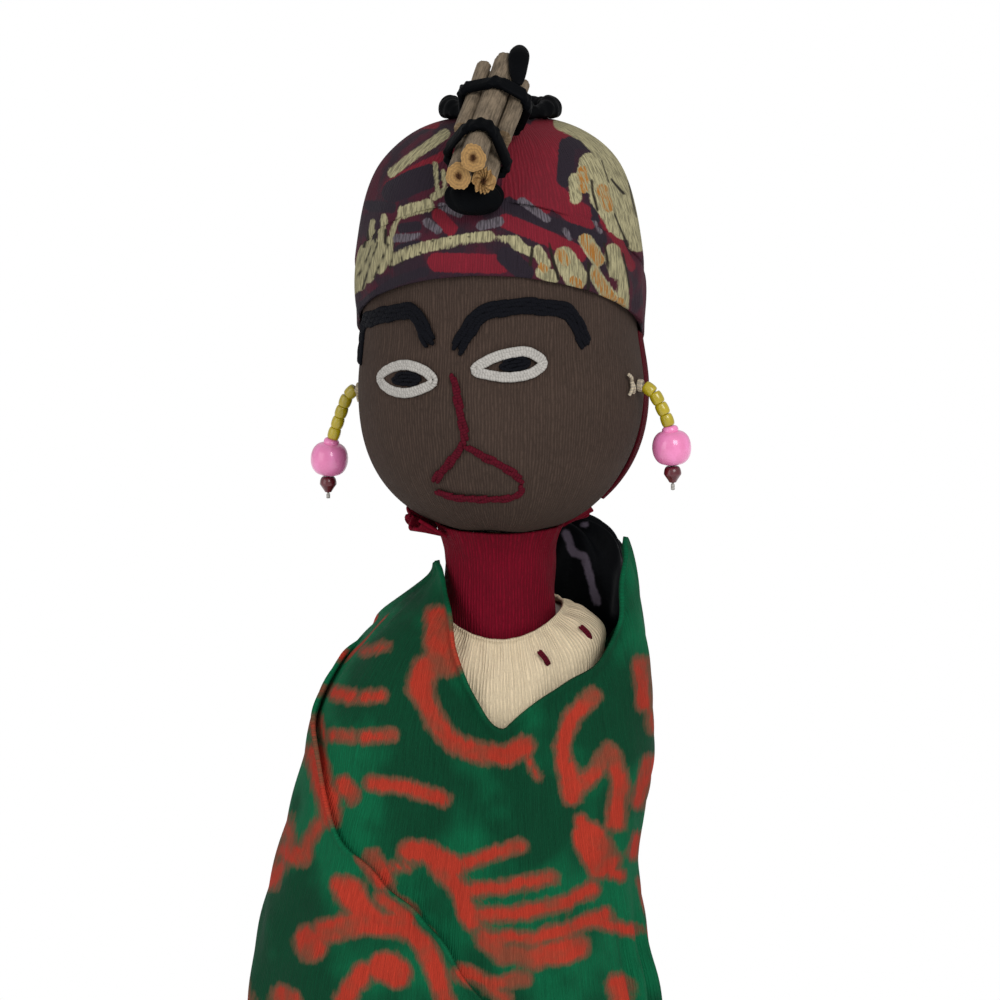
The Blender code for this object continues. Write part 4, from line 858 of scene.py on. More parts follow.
def ink(points, paths, closed=True):
    """How deep inside the strokes each point lies, in millimetres: measured in the photograph
    where it sees the surface and a little past its edge, up to a limit that waves with the
    height, and in space elsewhere."""
    flat, normal = points.reshape(-1, 3), normals_of(points, closed).reshape(-1, 3)
    toward = TARGET + TO_CAMERA * DISTANCE - flat
    facing = (normal * toward).sum(axis=1) / np.linalg.norm(toward, axis=1)
    height = flat[:, 2]
    facing = facing + PAST_EDGE + 0.12 * np.sin(1100 * height + 2) + 0.06 * np.sin(2700 * height)
    seen = pixels_of(flat)
    depth = np.full(len(flat), NO_PRINT)
    for half, path, drawn in paths:
        near = near_to(flat, path, (half + PRINT_MARGIN) * MM)
        if drawn is not None:
            near &= facing < EDGE_OVERLAP
            shown = near_to(seen, drawn, (half + PRINT_MARGIN) / PIXEL) & (facing > 0)
            depth[shown] = np.maximum(depth[shown], half - distances(seen[shown], drawn) * PIXEL)
        depth[near] = np.maximum(depth[near], half - distances(flat[near], path) / MM)
    return depth


# Materials


def put(tree, kind, inputs=None, **settings):
    """A shader node with its settings, and its inputs given as values or as other sockets."""
    node = tree.nodes.new("ShaderNode" + kind)
    for key, value in settings.items():
        setattr(node, key, value)
    for key, value in (inputs or {}).items():
        if isinstance(value, bpy.types.NodeSocket):
            tree.links.new(value, node.inputs[key])
        else:
            node.inputs[key].default_value = value
    return node


def maths(tree, operation, *values, clamp=False):
    """One step of arithmetic on values or sockets."""
    inputs = dict(enumerate(values))
    return put(tree, "Math", inputs, operation=operation, use_clamp=clamp).outputs[0]


def swing(tree, value, size):
    """A value of 0 to 1 made to swing round 0, by a size in all."""
    return maths(tree, "MULTIPLY_ADD", value, size, -size / 2)


def mixed(tree, share, below, above):
    """The first colour with a share of the second over it."""
    inputs = {0: share, 6: below, 7: above}
    return put(tree, "Mix", inputs, data_type="RGBA").outputs[2]


def noise(tree, place, scale, detail=3.0, stretch=(1, 1, 1), roughness=0.55):
    """Noise of 0 to 1, made longer along an axis where its stretch is small."""
    vector = put(tree, "Mapping", {"Vector": place, "Scale": stretch}).outputs[0]
    inputs = {"Vector": vector, "Scale": scale, "Detail": detail, "Roughness": roughness}
    return put(tree, "TexNoise", inputs).outputs[0]


def ramp(tree, value, low, high):
    """A value brought from low..high to 0..1, with soft ends."""
    inputs = {"Value": value, "From Min": low, "From Max": high}
    return put(tree, "MapRange", inputs, interpolation_type="SMOOTHSTEP").outputs[0]


def attribute(tree, name):
    """The number that the mesh holds under that name."""
    return put(tree, "Attribute", attribute_name=name).outputs["Fac"]


def srgb(red, green, blue):
    """A colour's linear value from its usual 0 to 255 one."""
    values = np.array((red, green, blue)) / 255
    linear = np.where(values <= 0.04045, values / 12.92, ((values + 0.055) / 1.055) ** 2.4)
    return tuple(linear.tolist())


def toned(colour, factor=1.0):
    """A colour made darker or lighter by a factor."""
    return (*[min(1.0, channel * factor) for channel in tuple(colour)[:3]], 1.0)


def finish(name, roughness=0.85, sheen=0.0, coat=0.0, specular=0.3):
    """A new material, its tree, its shader and its UV and object coordinates."""
    made = bpy.data.materials.new(name)
    made.use_nodes = True
    tree = made.node_tree
    shader = tree.nodes["Principled BSDF"]
    shader.inputs["Roughness"].default_value = roughness
    shader.inputs["Specular IOR Level"].default_value = specular
    shader.inputs["Sheen Weight"].default_value = sheen
    shader.inputs["Sheen Roughness"].default_value = 0.5
    shader.inputs["Coat Weight"].default_value = coat
    place = put(tree, "TexCoord")
    return made, tree, shader, place.outputs["UV"], place.outputs["Object"]


def coloured(tree, shader, colour):
    """Gives the shader its colour."""
    tree.links.new(colour, shader.inputs["Base Color"])


def bump(tree, shader, height, distance):
    """Gives the shader its fine relief, as deep as a distance."""
    node = put(tree, "Bump", {"Height": height, "Distance": distance})
    tree.links.new(node.outputs[0], shader.inputs["Normal"])


def ribs(tree, uv, pitch, wander=0.25):
    """Fine upright ribs of a knit, uneven in width and broken along their length: bands across
    the cloth whose place is shifted by long thin noise."""
    shift = noise(tree, uv, 0.8, 2.0, (1, 0.12, 1))
    parts = put(tree, "SeparateXYZ", {"Vector": uv})
    across = maths(tree, "ADD", parts.outputs[0], maths(tree, "MULTIPLY", shift, wander * 4))
    angle = maths(tree, "MULTIPLY", across, 2 * math.pi / pitch)
    wave = maths(tree, "MULTIPLY_ADD", maths(tree, "SINE", angle), 0.5, 0.5)
    broken = noise(tree, uv, 2.2, 2.0, (1, 0.25, 1))
    return maths(tree, "MULTIPLY", wave, ramp(tree, broken, 0.25, 0.6))


def shaded(tree, place, uv, rib, contrast, blotch, fleck):
    """How dark each spot of a knit is: painted shade between its ribs, and its tone in soft
    blotches and in fine grain.
    """
    worn = noise(tree, place, 90, 4.0)
    grain = noise(tree, uv, 3.0, 3.0)
    # Painted shade where the ribs dip, then blotches and grain of uneven tone
    dark = maths(tree, "MULTIPLY_ADD", rib, -contrast, contrast)
    dark = maths(tree, "ADD", dark, swing(tree, worn, blotch))
    return maths(tree, "ADD", dark, swing(tree, grain, fleck), clamp=True), grain


def knit(name, colour, shade, pitch=0.5, depth=0.00012, contrast=0.55, blotch=0.35, **settings):
    """Ribbed jersey or stockinet: a colour darkened by painted shade between its ribs and in soft
    blotches.
    """
    made, tree, shader, uv, place = finish(name, **settings)
    rib = ribs(tree, uv, pitch)
    dark, grain = shaded(tree, place, uv, rib, contrast, blotch, 0.5)
    coloured(tree, shader, mixed(tree, dark, toned(colour), toned(shade)))
    bump(tree, shader, maths(tree, "MULTIPLY_ADD", grain, 0.5, rib), depth)
    return made


def thread(name, colour, shade, **settings):
    """Twisted sewing thread: slanting bands of painted shade round and along each strand, painted
    highlight where the second colour is the lighter, and fluff of uneven tone.
    """
    made, tree, shader, uv, place = finish(name, **settings)
    parts = put(tree, "SeparateXYZ", {"Vector": uv})
    turn = maths(tree, "MULTIPLY", parts.outputs[0], 2 * math.pi)
    twist = maths(tree, "MULTIPLY_ADD", parts.outputs[1], 2 * math.pi / 0.55, turn)
    wave = maths(tree, "MULTIPLY_ADD", maths(tree, "SINE", twist), 0.5, 0.5)
    fluff = noise(tree, place, 900, 3.0)
    # Painted shade in slanting bands along the twist, with fluff of uneven tone
    dark = maths(tree, "MULTIPLY", wave, 0.55)
    dark = maths(tree, "ADD", dark, swing(tree, fluff, 0.9), clamp=True)
    coloured(tree, shader, mixed(tree, dark, toned(colour), toned(shade)))
    bump(tree, shader, maths(tree, "ADD", wave, fluff), 0.00008)
    return made


def tan_look(doll):
    """The darker, warmer thread of the knots at the ears."""
    return thread("tan_strand", srgb(198, 182, 156), toned(doll.pale, 0.45))


def stuffing_look(doll):
    """Loose fibre: lumpy noise in colour and height."""
    made, tree, shader, _, place = finish("stuffing_fibre", 0.95)
    fluff = noise(tree, place, 500, 5.0)
    coloured(tree, shader, mixed(tree, fluff, toned(doll.stuffing), toned(doll.stuffing, 0.6)))
    bump(tree, shader, fluff, 0.0006)
    return made


def wood_look(doll):
    """Planed wood: long thin noise along the grain, which runs up."""
    made, tree, shader, _, place = finish("planed_wood")
    grain = noise(tree, place, 120, 5.0, (1, 1, 0.06))
    fleck = noise(tree, place, 700, 2.0, (1, 1, 0.1))
    share = maths(tree, "ADD", ramp(tree, grain, 0.3, 0.7), maths(tree, "MULTIPLY", fleck, 0.3))
    coloured(tree, shader, mixed(tree, share, toned(doll.wood), toned(doll.wood, 0.5)))
    bump(tree, shader, maths(tree, "ADD", grain, fleck), 0.0001)
    return made


def black_look(doll):
    """Thin black cloth with creases: soft noise in colour, fine crossed threads, and grey streaks
    of painted highlight where the mesh says."""
    made, tree, shader, _, place = finish("black_satin", 0.6, specular=0.04)
    crease = noise(tree, place, 160, 4.0, (1, 1, 0.5))
    weave = noise(tree, place, 1400, 2.0)
    dark = mixed(tree, ramp(tree, crease, 0.4, 0.75), toned(doll.black), toned(doll.black, 1.8))
    # Painted highlight: grey streaks where the mesh marks them
    depth = maths(tree, "ADD", attribute(tree, "streak"), noise(tree, place, 500, 2.0))
    coloured(tree, shader, mixed(tree, ramp(tree, depth, 0.2, 0.9), dark, toned(srgb(88, 80, 92))))
    bump(tree, shader, maths(tree, "MULTIPLY_ADD", weave, 0.15, crease), 0.0006)
    return made


def bark_look(doll):
    """Split sticks: bark with fibres along it, and pale end grain that darkens to its pith."""
    made, tree, shader, uv, place = finish("bark_and_end_grain")
    fibre = noise(tree, uv, 2.6, 5.0, (1, 0.1, 1), 0.7)
    patch = noise(tree, place, 260, 3.0)
    share = ramp(tree, maths(tree, "MULTIPLY_ADD", patch, 0.4, fibre), 0.5, 0.95)
    skin = mixed(tree, share, toned(doll.bark), toned(doll.bark, 0.3))
    reach = attribute(tree, "reach")
    rough = noise(tree, place, 1500, 3.0)
    wobble = maths(tree, "MULTIPLY_ADD", rough, 8.0, maths(tree, "MULTIPLY", reach, 26.0))
    rings = maths(tree, "MULTIPLY_ADD", maths(tree, "SINE", wobble), 0.15, 0.2)
    inside = mixed(tree, rings, toned(doll.end_grain), toned(doll.bark, 0.3))
    core = ramp(tree, maths(tree, "MULTIPLY_ADD", rough, 0.35, reach), 0.62, 0.32)
    inside = mixed(tree, core, inside, toned(srgb(74, 42, 16)))
    coloured(tree, shader, mixed(tree, attribute(tree, "end"), skin, inside))
    bump(tree, shader, maths(tree, "ADD", fibre, rough), 0.00025)
    return made


def shawl_look(doll):
    """Printed ribbed jersey: brush strokes that bleed into the ground with dull edges, their
    colour worn in places, on a ground with lighter and darker parts."""
    made, tree, shader, uv, place = finish("printed_jersey", specular=0.15)
    rib = ribs(tree, uv, 0.62, 0.35)
    # Painted shade between the ribs, with blotches and grain of uneven tone, darkens ground and
    # print
    dark, grain = shaded(tree, place, uv, rib, 0.34, 0.6, 0.4)
    light = mixed(tree, dark, toned(doll.shawl), toned(doll.shawl, 0.45))
    deep = mixed(tree, dark, toned(doll.shawl, 0.42), toned(doll.shawl, 0.2))
    ground = mixed(tree, ramp(tree, noise(tree, place, 34, 3.0), 0.42, 0.6), light, deep)
    dull = mixed(tree, dark, toned(doll.print_edge), toned(doll.print_edge, 0.55))
    red = mixed(tree, dark, toned(doll.print), toned(doll.print, 0.45))
    ragged = swing(tree, noise(tree, uv, 0.45, 3.0, (1, 0.8, 1)), 2.0)
    fine = swing(tree, noise(tree, uv, 3.2, 2.0, (1, 0.25, 1)), 0.6)
    depth = maths(tree, "ADD", attribute(tree, "ink"), maths(tree, "ADD", ragged, fine))
    worn = maths(tree, "MULTIPLY", ramp(tree, noise(tree, place, 120, 3.0), 0.45, 0.7), 0.7)
    edged = mixed(tree, ramp(tree, depth, -1.0, 0.05), ground, dull)
    inked = mixed(tree, worn, red, dull)
    coloured(tree, shader, mixed(tree, ramp(tree, depth, -0.1, 1.0), edged, inked))
    bump(tree, shader, maths(tree, "MULTIPLY_ADD", grain, 0.5, rib), 0.00016)
    return made


def wrap_look(doll):
    """Printed cotton: layers of colour, each where the mesh says, with ragged edges, and threads
    that streak the pale ones."""
    made, tree, shader, uv, place = finish("printed_cotton", 0.8, specular=0.2)
    rib = ribs(tree, uv, 0.5, 0.3)
    # Painted shade between the ribs, with blotches and grain of uneven tone
    shade, grain = shaded(tree, place, uv, rib, 0.35, 0.5, 0.4)
    ragged = maths(tree, "MULTIPLY", noise(tree, uv, 1.2, 3.0, (1, 0.6, 1)), 0.7)
    fine = maths(tree, "MULTIPLY_ADD", noise(tree, uv, 4.0, 2.0, (1, 0.2, 1)), 0.5, -0.6)
    rough = maths(tree, "ADD", ragged, fine)
    navy, grey = toned(srgb(36, 28, 38)), srgb(112, 104, 112)
    cream, gold = srgb(178, 170, 132), srgb(168, 112, 46)
    blotch = ramp(tree, noise(tree, place, 130, 3.0), 0.42, 0.58)
    colour = mixed(tree, maths(tree, "MULTIPLY", blotch, 0.85), toned(srgb(72, 22, 38)), navy)
    thready = ramp(tree, noise(tree, uv, 3.0, 2.0, (1, 0.12, 1)), 0.42, 0.6)
    layers = {
        "red": mixed(tree, shade, toned(doll.wrap), toned(doll.wrap, 0.45)),
        "dark": navy,
        "grey": mixed(tree, thready, toned(grey), toned(grey, 0.4)),
        "cream": mixed(tree, thready, toned(cream), toned(cream, 0.5)),
        "gold": mixed(tree, thready, toned(gold), toned(cream, 0.8)),
        "slit": toned(srgb(34, 28, 20)),
    }
    for key, layer in layers.items():
        blur = maths(tree, "MULTIPLY", rough, 0.25 if key == "slit" else 1.0)
        depth = maths(tree, "ADD", attribute(tree, key), blur)
        colour = mixed(tree, ramp(tree, depth, -0.12, 0.25), colour, layer)
    # Painted shade dims every layer
    dim = maths(tree, "MULTIPLY", shade, 0.35)
    coloured(tree, shader, mixed(tree, dim, colour, toned(srgb(30, 22, 30))))
    bump(tree, shader, maths(tree, "MULTIPLY_ADD", grain, 0.5, rib), 0.00012)
    return made


def gloss(name, colour, shade, coat=0.6):
    """Moulded plastic: faint swirls and scuffs under a clear coat."""
    made, tree, shader, _, place = finish(name, 0.32, coat=coat, specular=0.5)
    swirl = noise(tree, place, 320, 3.0, (1, 1, 0.4))
    coloured(tree, shader, mixed(tree, ramp(tree, swirl, 0.35, 0.8), toned(colour), toned(shade)))
    scuff = noise(tree, place, 1600, 3.0)
    tree.links.new(ramp(tree, scuff, -0.3, 1.6), shader.inputs["Roughness"])
    bump(tree, shader, swirl, 0.00006)
    return made


# Each finish: the frame's material slot, what makes it and, where its maker serves more than one,
# the setting of its colour, the factors of its colour and of its shade, and the maker's settings
FINISHES = {
    "planed_wood": ("wood", wood_look),
    "stuffing_fibre": ("stuffing", stuffing_look),
    "black_satin": ("black_cloth", black_look),
    "bark_and_end_grain": ("bark", bark_look),
    "printed_jersey": ("green_cloth", shawl_look),
    "printed_cotton": ("print_cloth", wrap_look),
    "cream_jersey": (
        "cream_cloth", knit, "dress", 1.0, 0.45,
        {"pitch": 0.75, "depth": 0.0002, "contrast": 0.5, "blotch": 0.3},
    ),
    "crimson_jersey": (
        "crimson_cloth", knit, "crimson", 1.0, 0.3,
        {"pitch": 0.7, "depth": 0.0002, "contrast": 0.6, "blotch": 0.4, "specular": 0.15},
    ),
    # The hood: the crimson jersey at half its brightness, as painted shade
    "hood_jersey": (
        "crimson_cloth", knit, "crimson", 0.5, 0.18,
        {"pitch": 0.7, "depth": 0.0002, "contrast": 0.6, "blotch": 0.4, "specular": 0.15},
    ),
    "brown_stockinet": (
        "brown_cloth", knit, "face", 1.0, 0.3,
        {"pitch": 0.46, "depth": 0.00012, "contrast": 0.6, "blotch": 0.35, "specular": 0.15},
    ),
    "pale_strand": ("pale_thread", thread, "pale", 1.0, 0.55, {}),
    "tan_strand": ("pale_thread", tan_look),
    # The dark thread's second colour is lighter than its first: its twist's bands are painted
    # highlight
    "dark_strand": ("black_thread", thread, "brow", 1.0, 1.8, {"specular": 0.12}),
    "red_strand": ("red_thread", thread, "mouth", 1.0, 0.4, {"specular": 0.12}),
    "yellow_gloss": ("yellow_bead", gloss, "yellow", 1.0, 0.7, {}),
    "pink_gloss": ("pink_bead", gloss, "pink", 1.0, 1.35, {"coat": 0.8}),
    "dark_gloss": ("dark_bead", gloss, "tip", 1.0, 0.5, {}),
}


def look(name, doll):
    """The material of that name, made the first time it is asked for."""
    made = bpy.data.materials.get(name)
    if made is None:
        _, maker, *given = FINISHES[name]
        if given:
            setting, factor, shade_factor, settings = given
            colour = getattr(doll, setting)
            made = maker(name, toned(colour, factor), toned(colour, shade_factor), **settings)
        else:
            made = maker(doll)
    return made


# Pieces


def piece(mesh, body, material, *replaced):
    """Puts a finished mesh in the scene under its own name, rides it on its body, gives it its
    finish's slot and hides the solids it stands for."""
    obj = bpy.data.objects.new(mesh.name, mesh)
    bpy.context.scene.collection.objects.link(obj)
    mesh.materials.append(material)
    mesh.shade_smooth()
    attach(obj, body)
    if replaced:
        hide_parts(*replaced)
    return obj


def black_piece(name, points, body, material, node, streak=NO_PRINT):
    """A closed piece of black cloth, with how deep inside the grey streaks of painted highlight
    each point lies.
    """
    depth = np.broadcast_to(streak, points.shape[:2])
    return piece(cloth(name, points, True, {"streak": depth}, True), body, material, node)


def profile_rings(turn, profile):
    """A ring of points at each reach and height of a profile."""
    return np.stack([ring_points(turn, reach, height) for reach, height in profile])


def flat_oval(sides):
    """A flat oval section carried round a band: the angle along it, its rise from -1 to 1 and how
    far it stands out, from 0 to 2, both with their waves flattened."""
    lean = np.linspace(0, 2 * math.pi, sides)[:, None]
    return lean, softened(np.cos(lean), 0.6), 1 + softened(np.sin(lean), 0.5)


def bodice_points(turn, rows):
    """The bodice from collar to waist: rings whose width, front and back follow smooth curves
    through the frame's rows."""
    table = np.vstack([np.array(BODICE_SHARES), (0, 0, 0, 0, 0)])
    spots = np.linspace(0, len(table) - 1, rows)
    place = np.arange(len(table), dtype=float)
    width, fore, aft, side_share, front_share = (
        curve_through(spots, place, column)[:, None] for column in table.T
    )
    slim = np.clip(spots - (len(table) - 2), 0, 1)[:, None] * (WAIST_RADIUS - COLLAR_RADIUS)
    half = COLLAR_RADIUS + width * (BODICE_HALF_WIDTH - COLLAR_RADIUS) + slim
    front = COLLAR_RADIUS + fore * (BODICE_FRONT - COLLAR_RADIUS) + slim
    back = COLLAR_RADIUS + aft * (BODICE_BACK - COLLAR_RADIUS) + slim
    side, ahead = np.sin(turn), np.cos(turn)
    depth = np.where(ahead > 0, front, back)
    reach = 1 / np.sqrt((side / half) ** 2 + (ahead / depth) ** 2)
    side_height = WAIST_HEIGHT + side_share * (COLLAR_SIDE_HEIGHT - WAIST_HEIGHT)
    front_height = WAIST_HEIGHT + front_share * (COLLAR_FRONT_HEIGHT - WAIST_HEIGHT)
    height = side_height + (front_height - side_height) * np.where(ahead > 0, ahead**2, 0)
    return ring_points(turn, reach, height)


def skirt_points(turn, rows):
    """The skirt from waist to hem: a cone on a smooth curve, with gathers that open downwards."""
    table = np.array(SKIRT_SHARES)
    share = np.linspace(0, 1, rows)[:, None]
    spread = curve_through(share, table[:, 1], table[:, 0])
    reach = WAIST_RADIUS + spread * (HEM_RADIUS - WAIST_RADIUS)
    height = WAIST_HEIGHT - GAP + share * (HEM_HEIGHT - WAIST_HEIGHT + GAP)
    fold = SKIRT_FOLD_DEPTH * share * (1 - np.cos(SKIRT_FOLDS * turn)) / 2
    gather = 0.0004 * (1 - share) * np.sin(46 * turn + 0.8 * np.sin(3 * turn)) * ease(share * 8)
    soft = 0.0005 * share * np.sin(21 * turn + 2.2 * np.sin(2 * turn + 1) + 3 * share)
    return ring_points(turn, reach - fold + gather + soft + 0.0004 * share, height)


def tie_ring(turn, reach, height, out, half, wrinkle):
    """A cloth band carried round as a flat oval that stands out from a reach, with wrinkles."""
    lean, rise, swell = flat_oval(33)
    return ring_points(turn, reach + out / 2 * swell + wrinkle * np.sin(lean), height + half * rise)


def make_filling(doll):
    """The wood gets its grain; stuffing fills the dress, the neck and the head."""
    for node in ("base_disc", "spine_dowel"):
        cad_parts[node].material_slots[0].material = look("planed_wood", doll)
    fibre = look("stuffing_fibre", doll)
    turn = around(96)
    chest = pushed(bodice_points(turn, 40), -CHEST_INSET)
    skirt = pushed(skirt_points(turn, 40)[1:-3], -SKIRT_INSET)
    top, foot = (profile_rings(turn, profile) for profile in (BODY_FILL_TOP, BODY_FILL_FOOT))
    low, high = HEAD_BOTTOM + FACE_INSET, HEAD_TOP - FACE_INSET
    shape = outline(lambda height: np.maximum(head_radius(height) - FACE_INSET, 0), high, low)
    head = down_outline(shape, turn, high, low, 60)
    to_axis = (0, 0, 1)
    for name, body, node, rows in (
        ("body_fill", "body", "body_stuffing", (top, chest, skirt, foot)),
        ("head_fill", "head", "head_stuffing", (head[:1] * to_axis, head, head[-1:] * to_axis)),
        ("neck_fill", "head", "neck_stuffing", (profile_rings(turn, NECK_FILL),)),
    ):
        mesh = cloth(name, np.concatenate(rows), solid=True)
        piece(mesh, body, fibre, node)


def make_dress(doll):
    """The cream dress: a bodice with small creases and a rolled collar, a gathered skirt, the tie
    at the waist, and the red stitches on the blouse."""
    cream = look("cream_jersey", doll)
    turn = around(220)
    down = np.linspace(0, 1, 96)[:, None]
    crease = 0.00035 * np.sin(9 * turn + 7 * down + 2 * np.sin(2 * turn)) * ease(down * 4)
    crease = crease + 0.0003 * np.sin(23 * turn - 5 * down) * hill(down - 0.12, 0.1)
    points = pushed(bodice_points(turn, 96), crease + 0.0006 * hill(down, 0.02))
    bodice = piece(cloth("bodice", points), "body", cream, "dress_bodice")
    thicken(bodice, doll.jersey)
    skirt = piece(cloth("skirt", skirt_points(around(420), 110)), "body", cream, "dress_skirt")
    thicken(skirt, doll.jersey)
    rise, out, half = WAIST_TIE
    wrinkle = 0.0002 * np.sin(34 * turn)
    rows = tie_ring(turn, WAIST_RADIUS + GAP, WAIST_HEIGHT + rise, out, half, wrinkle)
    piece(cloth("waist_cord", rows, solid=True), "body", cream, "waist_tie")
    share = np.linspace(0, 1, 15)[:, None]
    for name, node in (("front_stitches", "front_stitch"), ("side_stitches", "side_stitch")):
        middle = np.array(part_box(node)).mean(axis=0)
        away = np.array((middle[0], middle[1], 0)) / np.hypot(*middle[:2])
        path = middle + BLOUSE_STITCH * (2 * share - 1)
        path = path + away * BLOUSE_BOW * np.sin(math.pi * share)
        mesh = strands(name, [path, path + BLOUSE_SECOND], BLOUSE_THREAD, 8)
        piece(mesh, "body", look("red_strand", doll), node)


def make_arms(doll):
    """Two stuffed sleeves under the shawl, round tubes on smooth curves with small creases."""
    cream = look("cream_jersey", doll)
    for name, places in (("right_arm", RIGHT_ARM), ("left_arm", LEFT_ARM)):
        path = route(places, 90)
        share = np.linspace(0, 1, 90)
        end = squared(np.abs(share - 0.5) * 2 * 1.06 - 0.06, 14)
        radii = path[:, 3] * end * (1 + 0.03 * np.sin(share * 40 + 2 * np.sin(share * 9)))
        mesh = strands(f"{name}_sleeve", path[:, :3], radii + 0.0001, 36)
        piece(mesh, "body", cream, name)


def make_shawl(doll):
    """The printed shawl: one sheet round the shoulders, and its end laid across the front."""
    jersey = look("printed_jersey", doll)
    paths = print_paths(SHAWL_INK, shawl_radius, shawl_copies)
    turn = around(270)
    top = shawl_edge(turn, SHAWL_RIM_SHARES)
    height = top + (SHAWL_HEM - top) * np.linspace(0, 1, 150)[:, None]
    base = shawl_radius(turn, height)
    roll = 0.0008 * hill(top - height, 0.0014) - 0.0004 * hill(top - height - 0.0035, 0.0015)
    points = ring_points(turn, base + shawl_folds(turn, height) + roll, height)
    printed = {"ink": ink(ring_points(turn, base, height), paths)}
    shawl = piece(cloth("shawl_cloth", points, True, printed), "body", jersey, "shawl")
    thicken(shawl, doll.shawl_thickness)
    turn = np.radians(np.linspace(*SHAWL_END_TURNS, 170))
    top = np.maximum(shawl_edge(turn, SHAWL_FOLD_SHARES), SHAWL_HEM + 0.0006)
    top = top + 0.0004 * np.sin(13 * turn) * ease((np.radians(26) - turn) / 0.3)
    height = top + (SHAWL_HEM - 0.0004 - top) * np.linspace(0, 1, 110)[:, None]
    base = shawl_radius(turn, height)
    start, width = SHAWL_END_OUT
    lift = SHAWL_END_RISE * ease((turn - start) / width) - SHAWL_END_TUCK
    lift = lift + 0.0009 * hill(top - height, 0.0013)
    points = ring_points(turn, base + shawl_folds(turn, height) + lift, height)
    printed = {"ink": ink(ring_points(turn, base, height), paths, False)}
    end = piece(cloth("shawl_end", points, False, printed), "body", jersey)
    thicken(end, doll.shawl_thickness)


def make_back_bundle(doll):
    """The black cloth bundle on the back, a rounded upper part behind the neck and a longer lower
    one: rounded boxes with creases that gather to the knot between them. The upper one is wider
    on its right towards its top, with grey streaks of painted highlight in front."""
    black = look("black_satin", doll)
    turn = around(ROUNDED_COLUMNS)
    for name, node, (centre, half, power) in (
        ("bundle_top", "back_bundle", BACK_UPPER),
        ("bundle_foot", "back_bundle_body", BACK_LOWER),
    ):
        points = rounded(centre, half, power)
        rise = (points[..., 2] - centre[2]) / half[2]
        crease = 0.00045 * np.sin(11 * turn + 3 * rise) * (0.4 + 0.6 * np.abs(rise))
        crease = crease + 0.0003 * np.sin(17 * turn - 5 * rise + 2 * np.sin(3 * turn))
        points = points + (points - np.array(centre)) * (crease / half[1])[..., None]
        streak = NO_PRINT
        if name == "bundle_top":
            share, start, width = BACK_WIDER
            right = np.maximum(points[..., 0] - centre[0], 0)
            points[..., 0] += share * right * ease((points[..., 2] - start) / width)
            # Painted highlight: grey streaks on the upper part's front, at the pixels listed
            seen = pixels_of(points)
            inside = [wide / 2 - distances(seen, np.array(path)) for wide, *path in BUNDLE_HIGHLIGHTS]
            in_front = points[..., 1] < centre[1]
            streak = np.where(in_front, np.max(inside, axis=0) * PIXEL, NO_PRINT)
        black_piece(name, points, "body", black, node, streak)


def make_head(doll):
    """The face: stockinet drawn over the stuffed head in soft waves, dimpled a little along the
    embroidery."""
    turn = around(360)
    shape = outline(head_radius, HEAD_TOP, HEAD_BOTTOM)
    rows = down_outline(shape, turn, HEAD_TOP, HEAD_BOTTOM, 210)
    height = rows[..., 2]
    lines = [on_head(*zip(*line)) for line in (LEFT_BROW, RIGHT_BROW, LEFT_EYE, RIGHT_EYE, NOSE)]
    lines += [seen_on(pixels, face_reach) for pixels in MOUTH_LINES]
    pull = np.min([distances(rows, line) for line in lines], axis=0)
    dent = 0.00016 * hill(pull - 0.002, 0.0012) - 0.0001 * hill(pull, 0.0022)
    wave = 0.00022 * np.sin(3 * turn + height * 150) + 0.00015 * np.sin(7 * turn + height * 90)
    relief = dent + wave * ease((0.284 - height) / 0.01)
    points = rows + head_normal(rows) * relief[..., None]
    points[[0, -1]] = rows[[0, -1]].mean(axis=1, keepdims=True)
    mesh = cloth("face_stockinet", points, solid=True)
    piece(mesh, "head", look("brown_stockinet", doll), "face_cover")


def stitched(path, closed, offsets, length, overlap, slant, bulge, lens):
    """Rows of stitches beside a line on the face: each bows out in the middle, dips at its ends
    and leans across the line. The rows of a lens meet at its ends. Gives paths and normals."""
    if closed:
        path = np.vstack([path, path[:1]])
    path_normal = head_normal(path)
    tangent = np.gradient(path, axis=0)
    tangent /= np.linalg.norm(tangent, axis=1, keepdims=True)
    side = np.cross(path_normal, tangent)
    along = lengths_along(path)
    step = length * (1 - overlap)
    share = np.linspace(0, 1, STITCH_POINTS)
    arch = np.sin(math.pi * share) ** 0.7
    rise = STITCH_LIFT + bulge * arch - 0.0004 * (np.abs(share - 0.5) * 2) ** 6
    paths, normals = [], []
    for row, offset in enumerate(offsets):
        starts = np.arange(-length * 0.2 + (row % 2) * step / 2, along[-1] - length * 0.6, step)
        wobble = np.sin(starts * 9000 + row * 2.1)
        spots = starts[:, None] + share * length * (1 + 0.12 * wobble[:, None])
        if closed:
            spots = spots % along[-1]
        base, normal, across = (
            np.stack([np.interp(spots, along, column) for column in values.T], -1)
            for values in (path, path_normal, side)
        )
        if lens:
            offset = offset * np.sqrt(np.clip(1 - (2 * spots / along[-1] - 1) ** 2, 0.02, 1))
        shift = offset + slant * (share - 0.5) + 0.00012 * wobble[:, None]
        paths.append(base + across * shift[..., None] + normal * rise[:, None])
        normals.append(normal)
    return np.concatenate(paths), np.concatenate(normals)


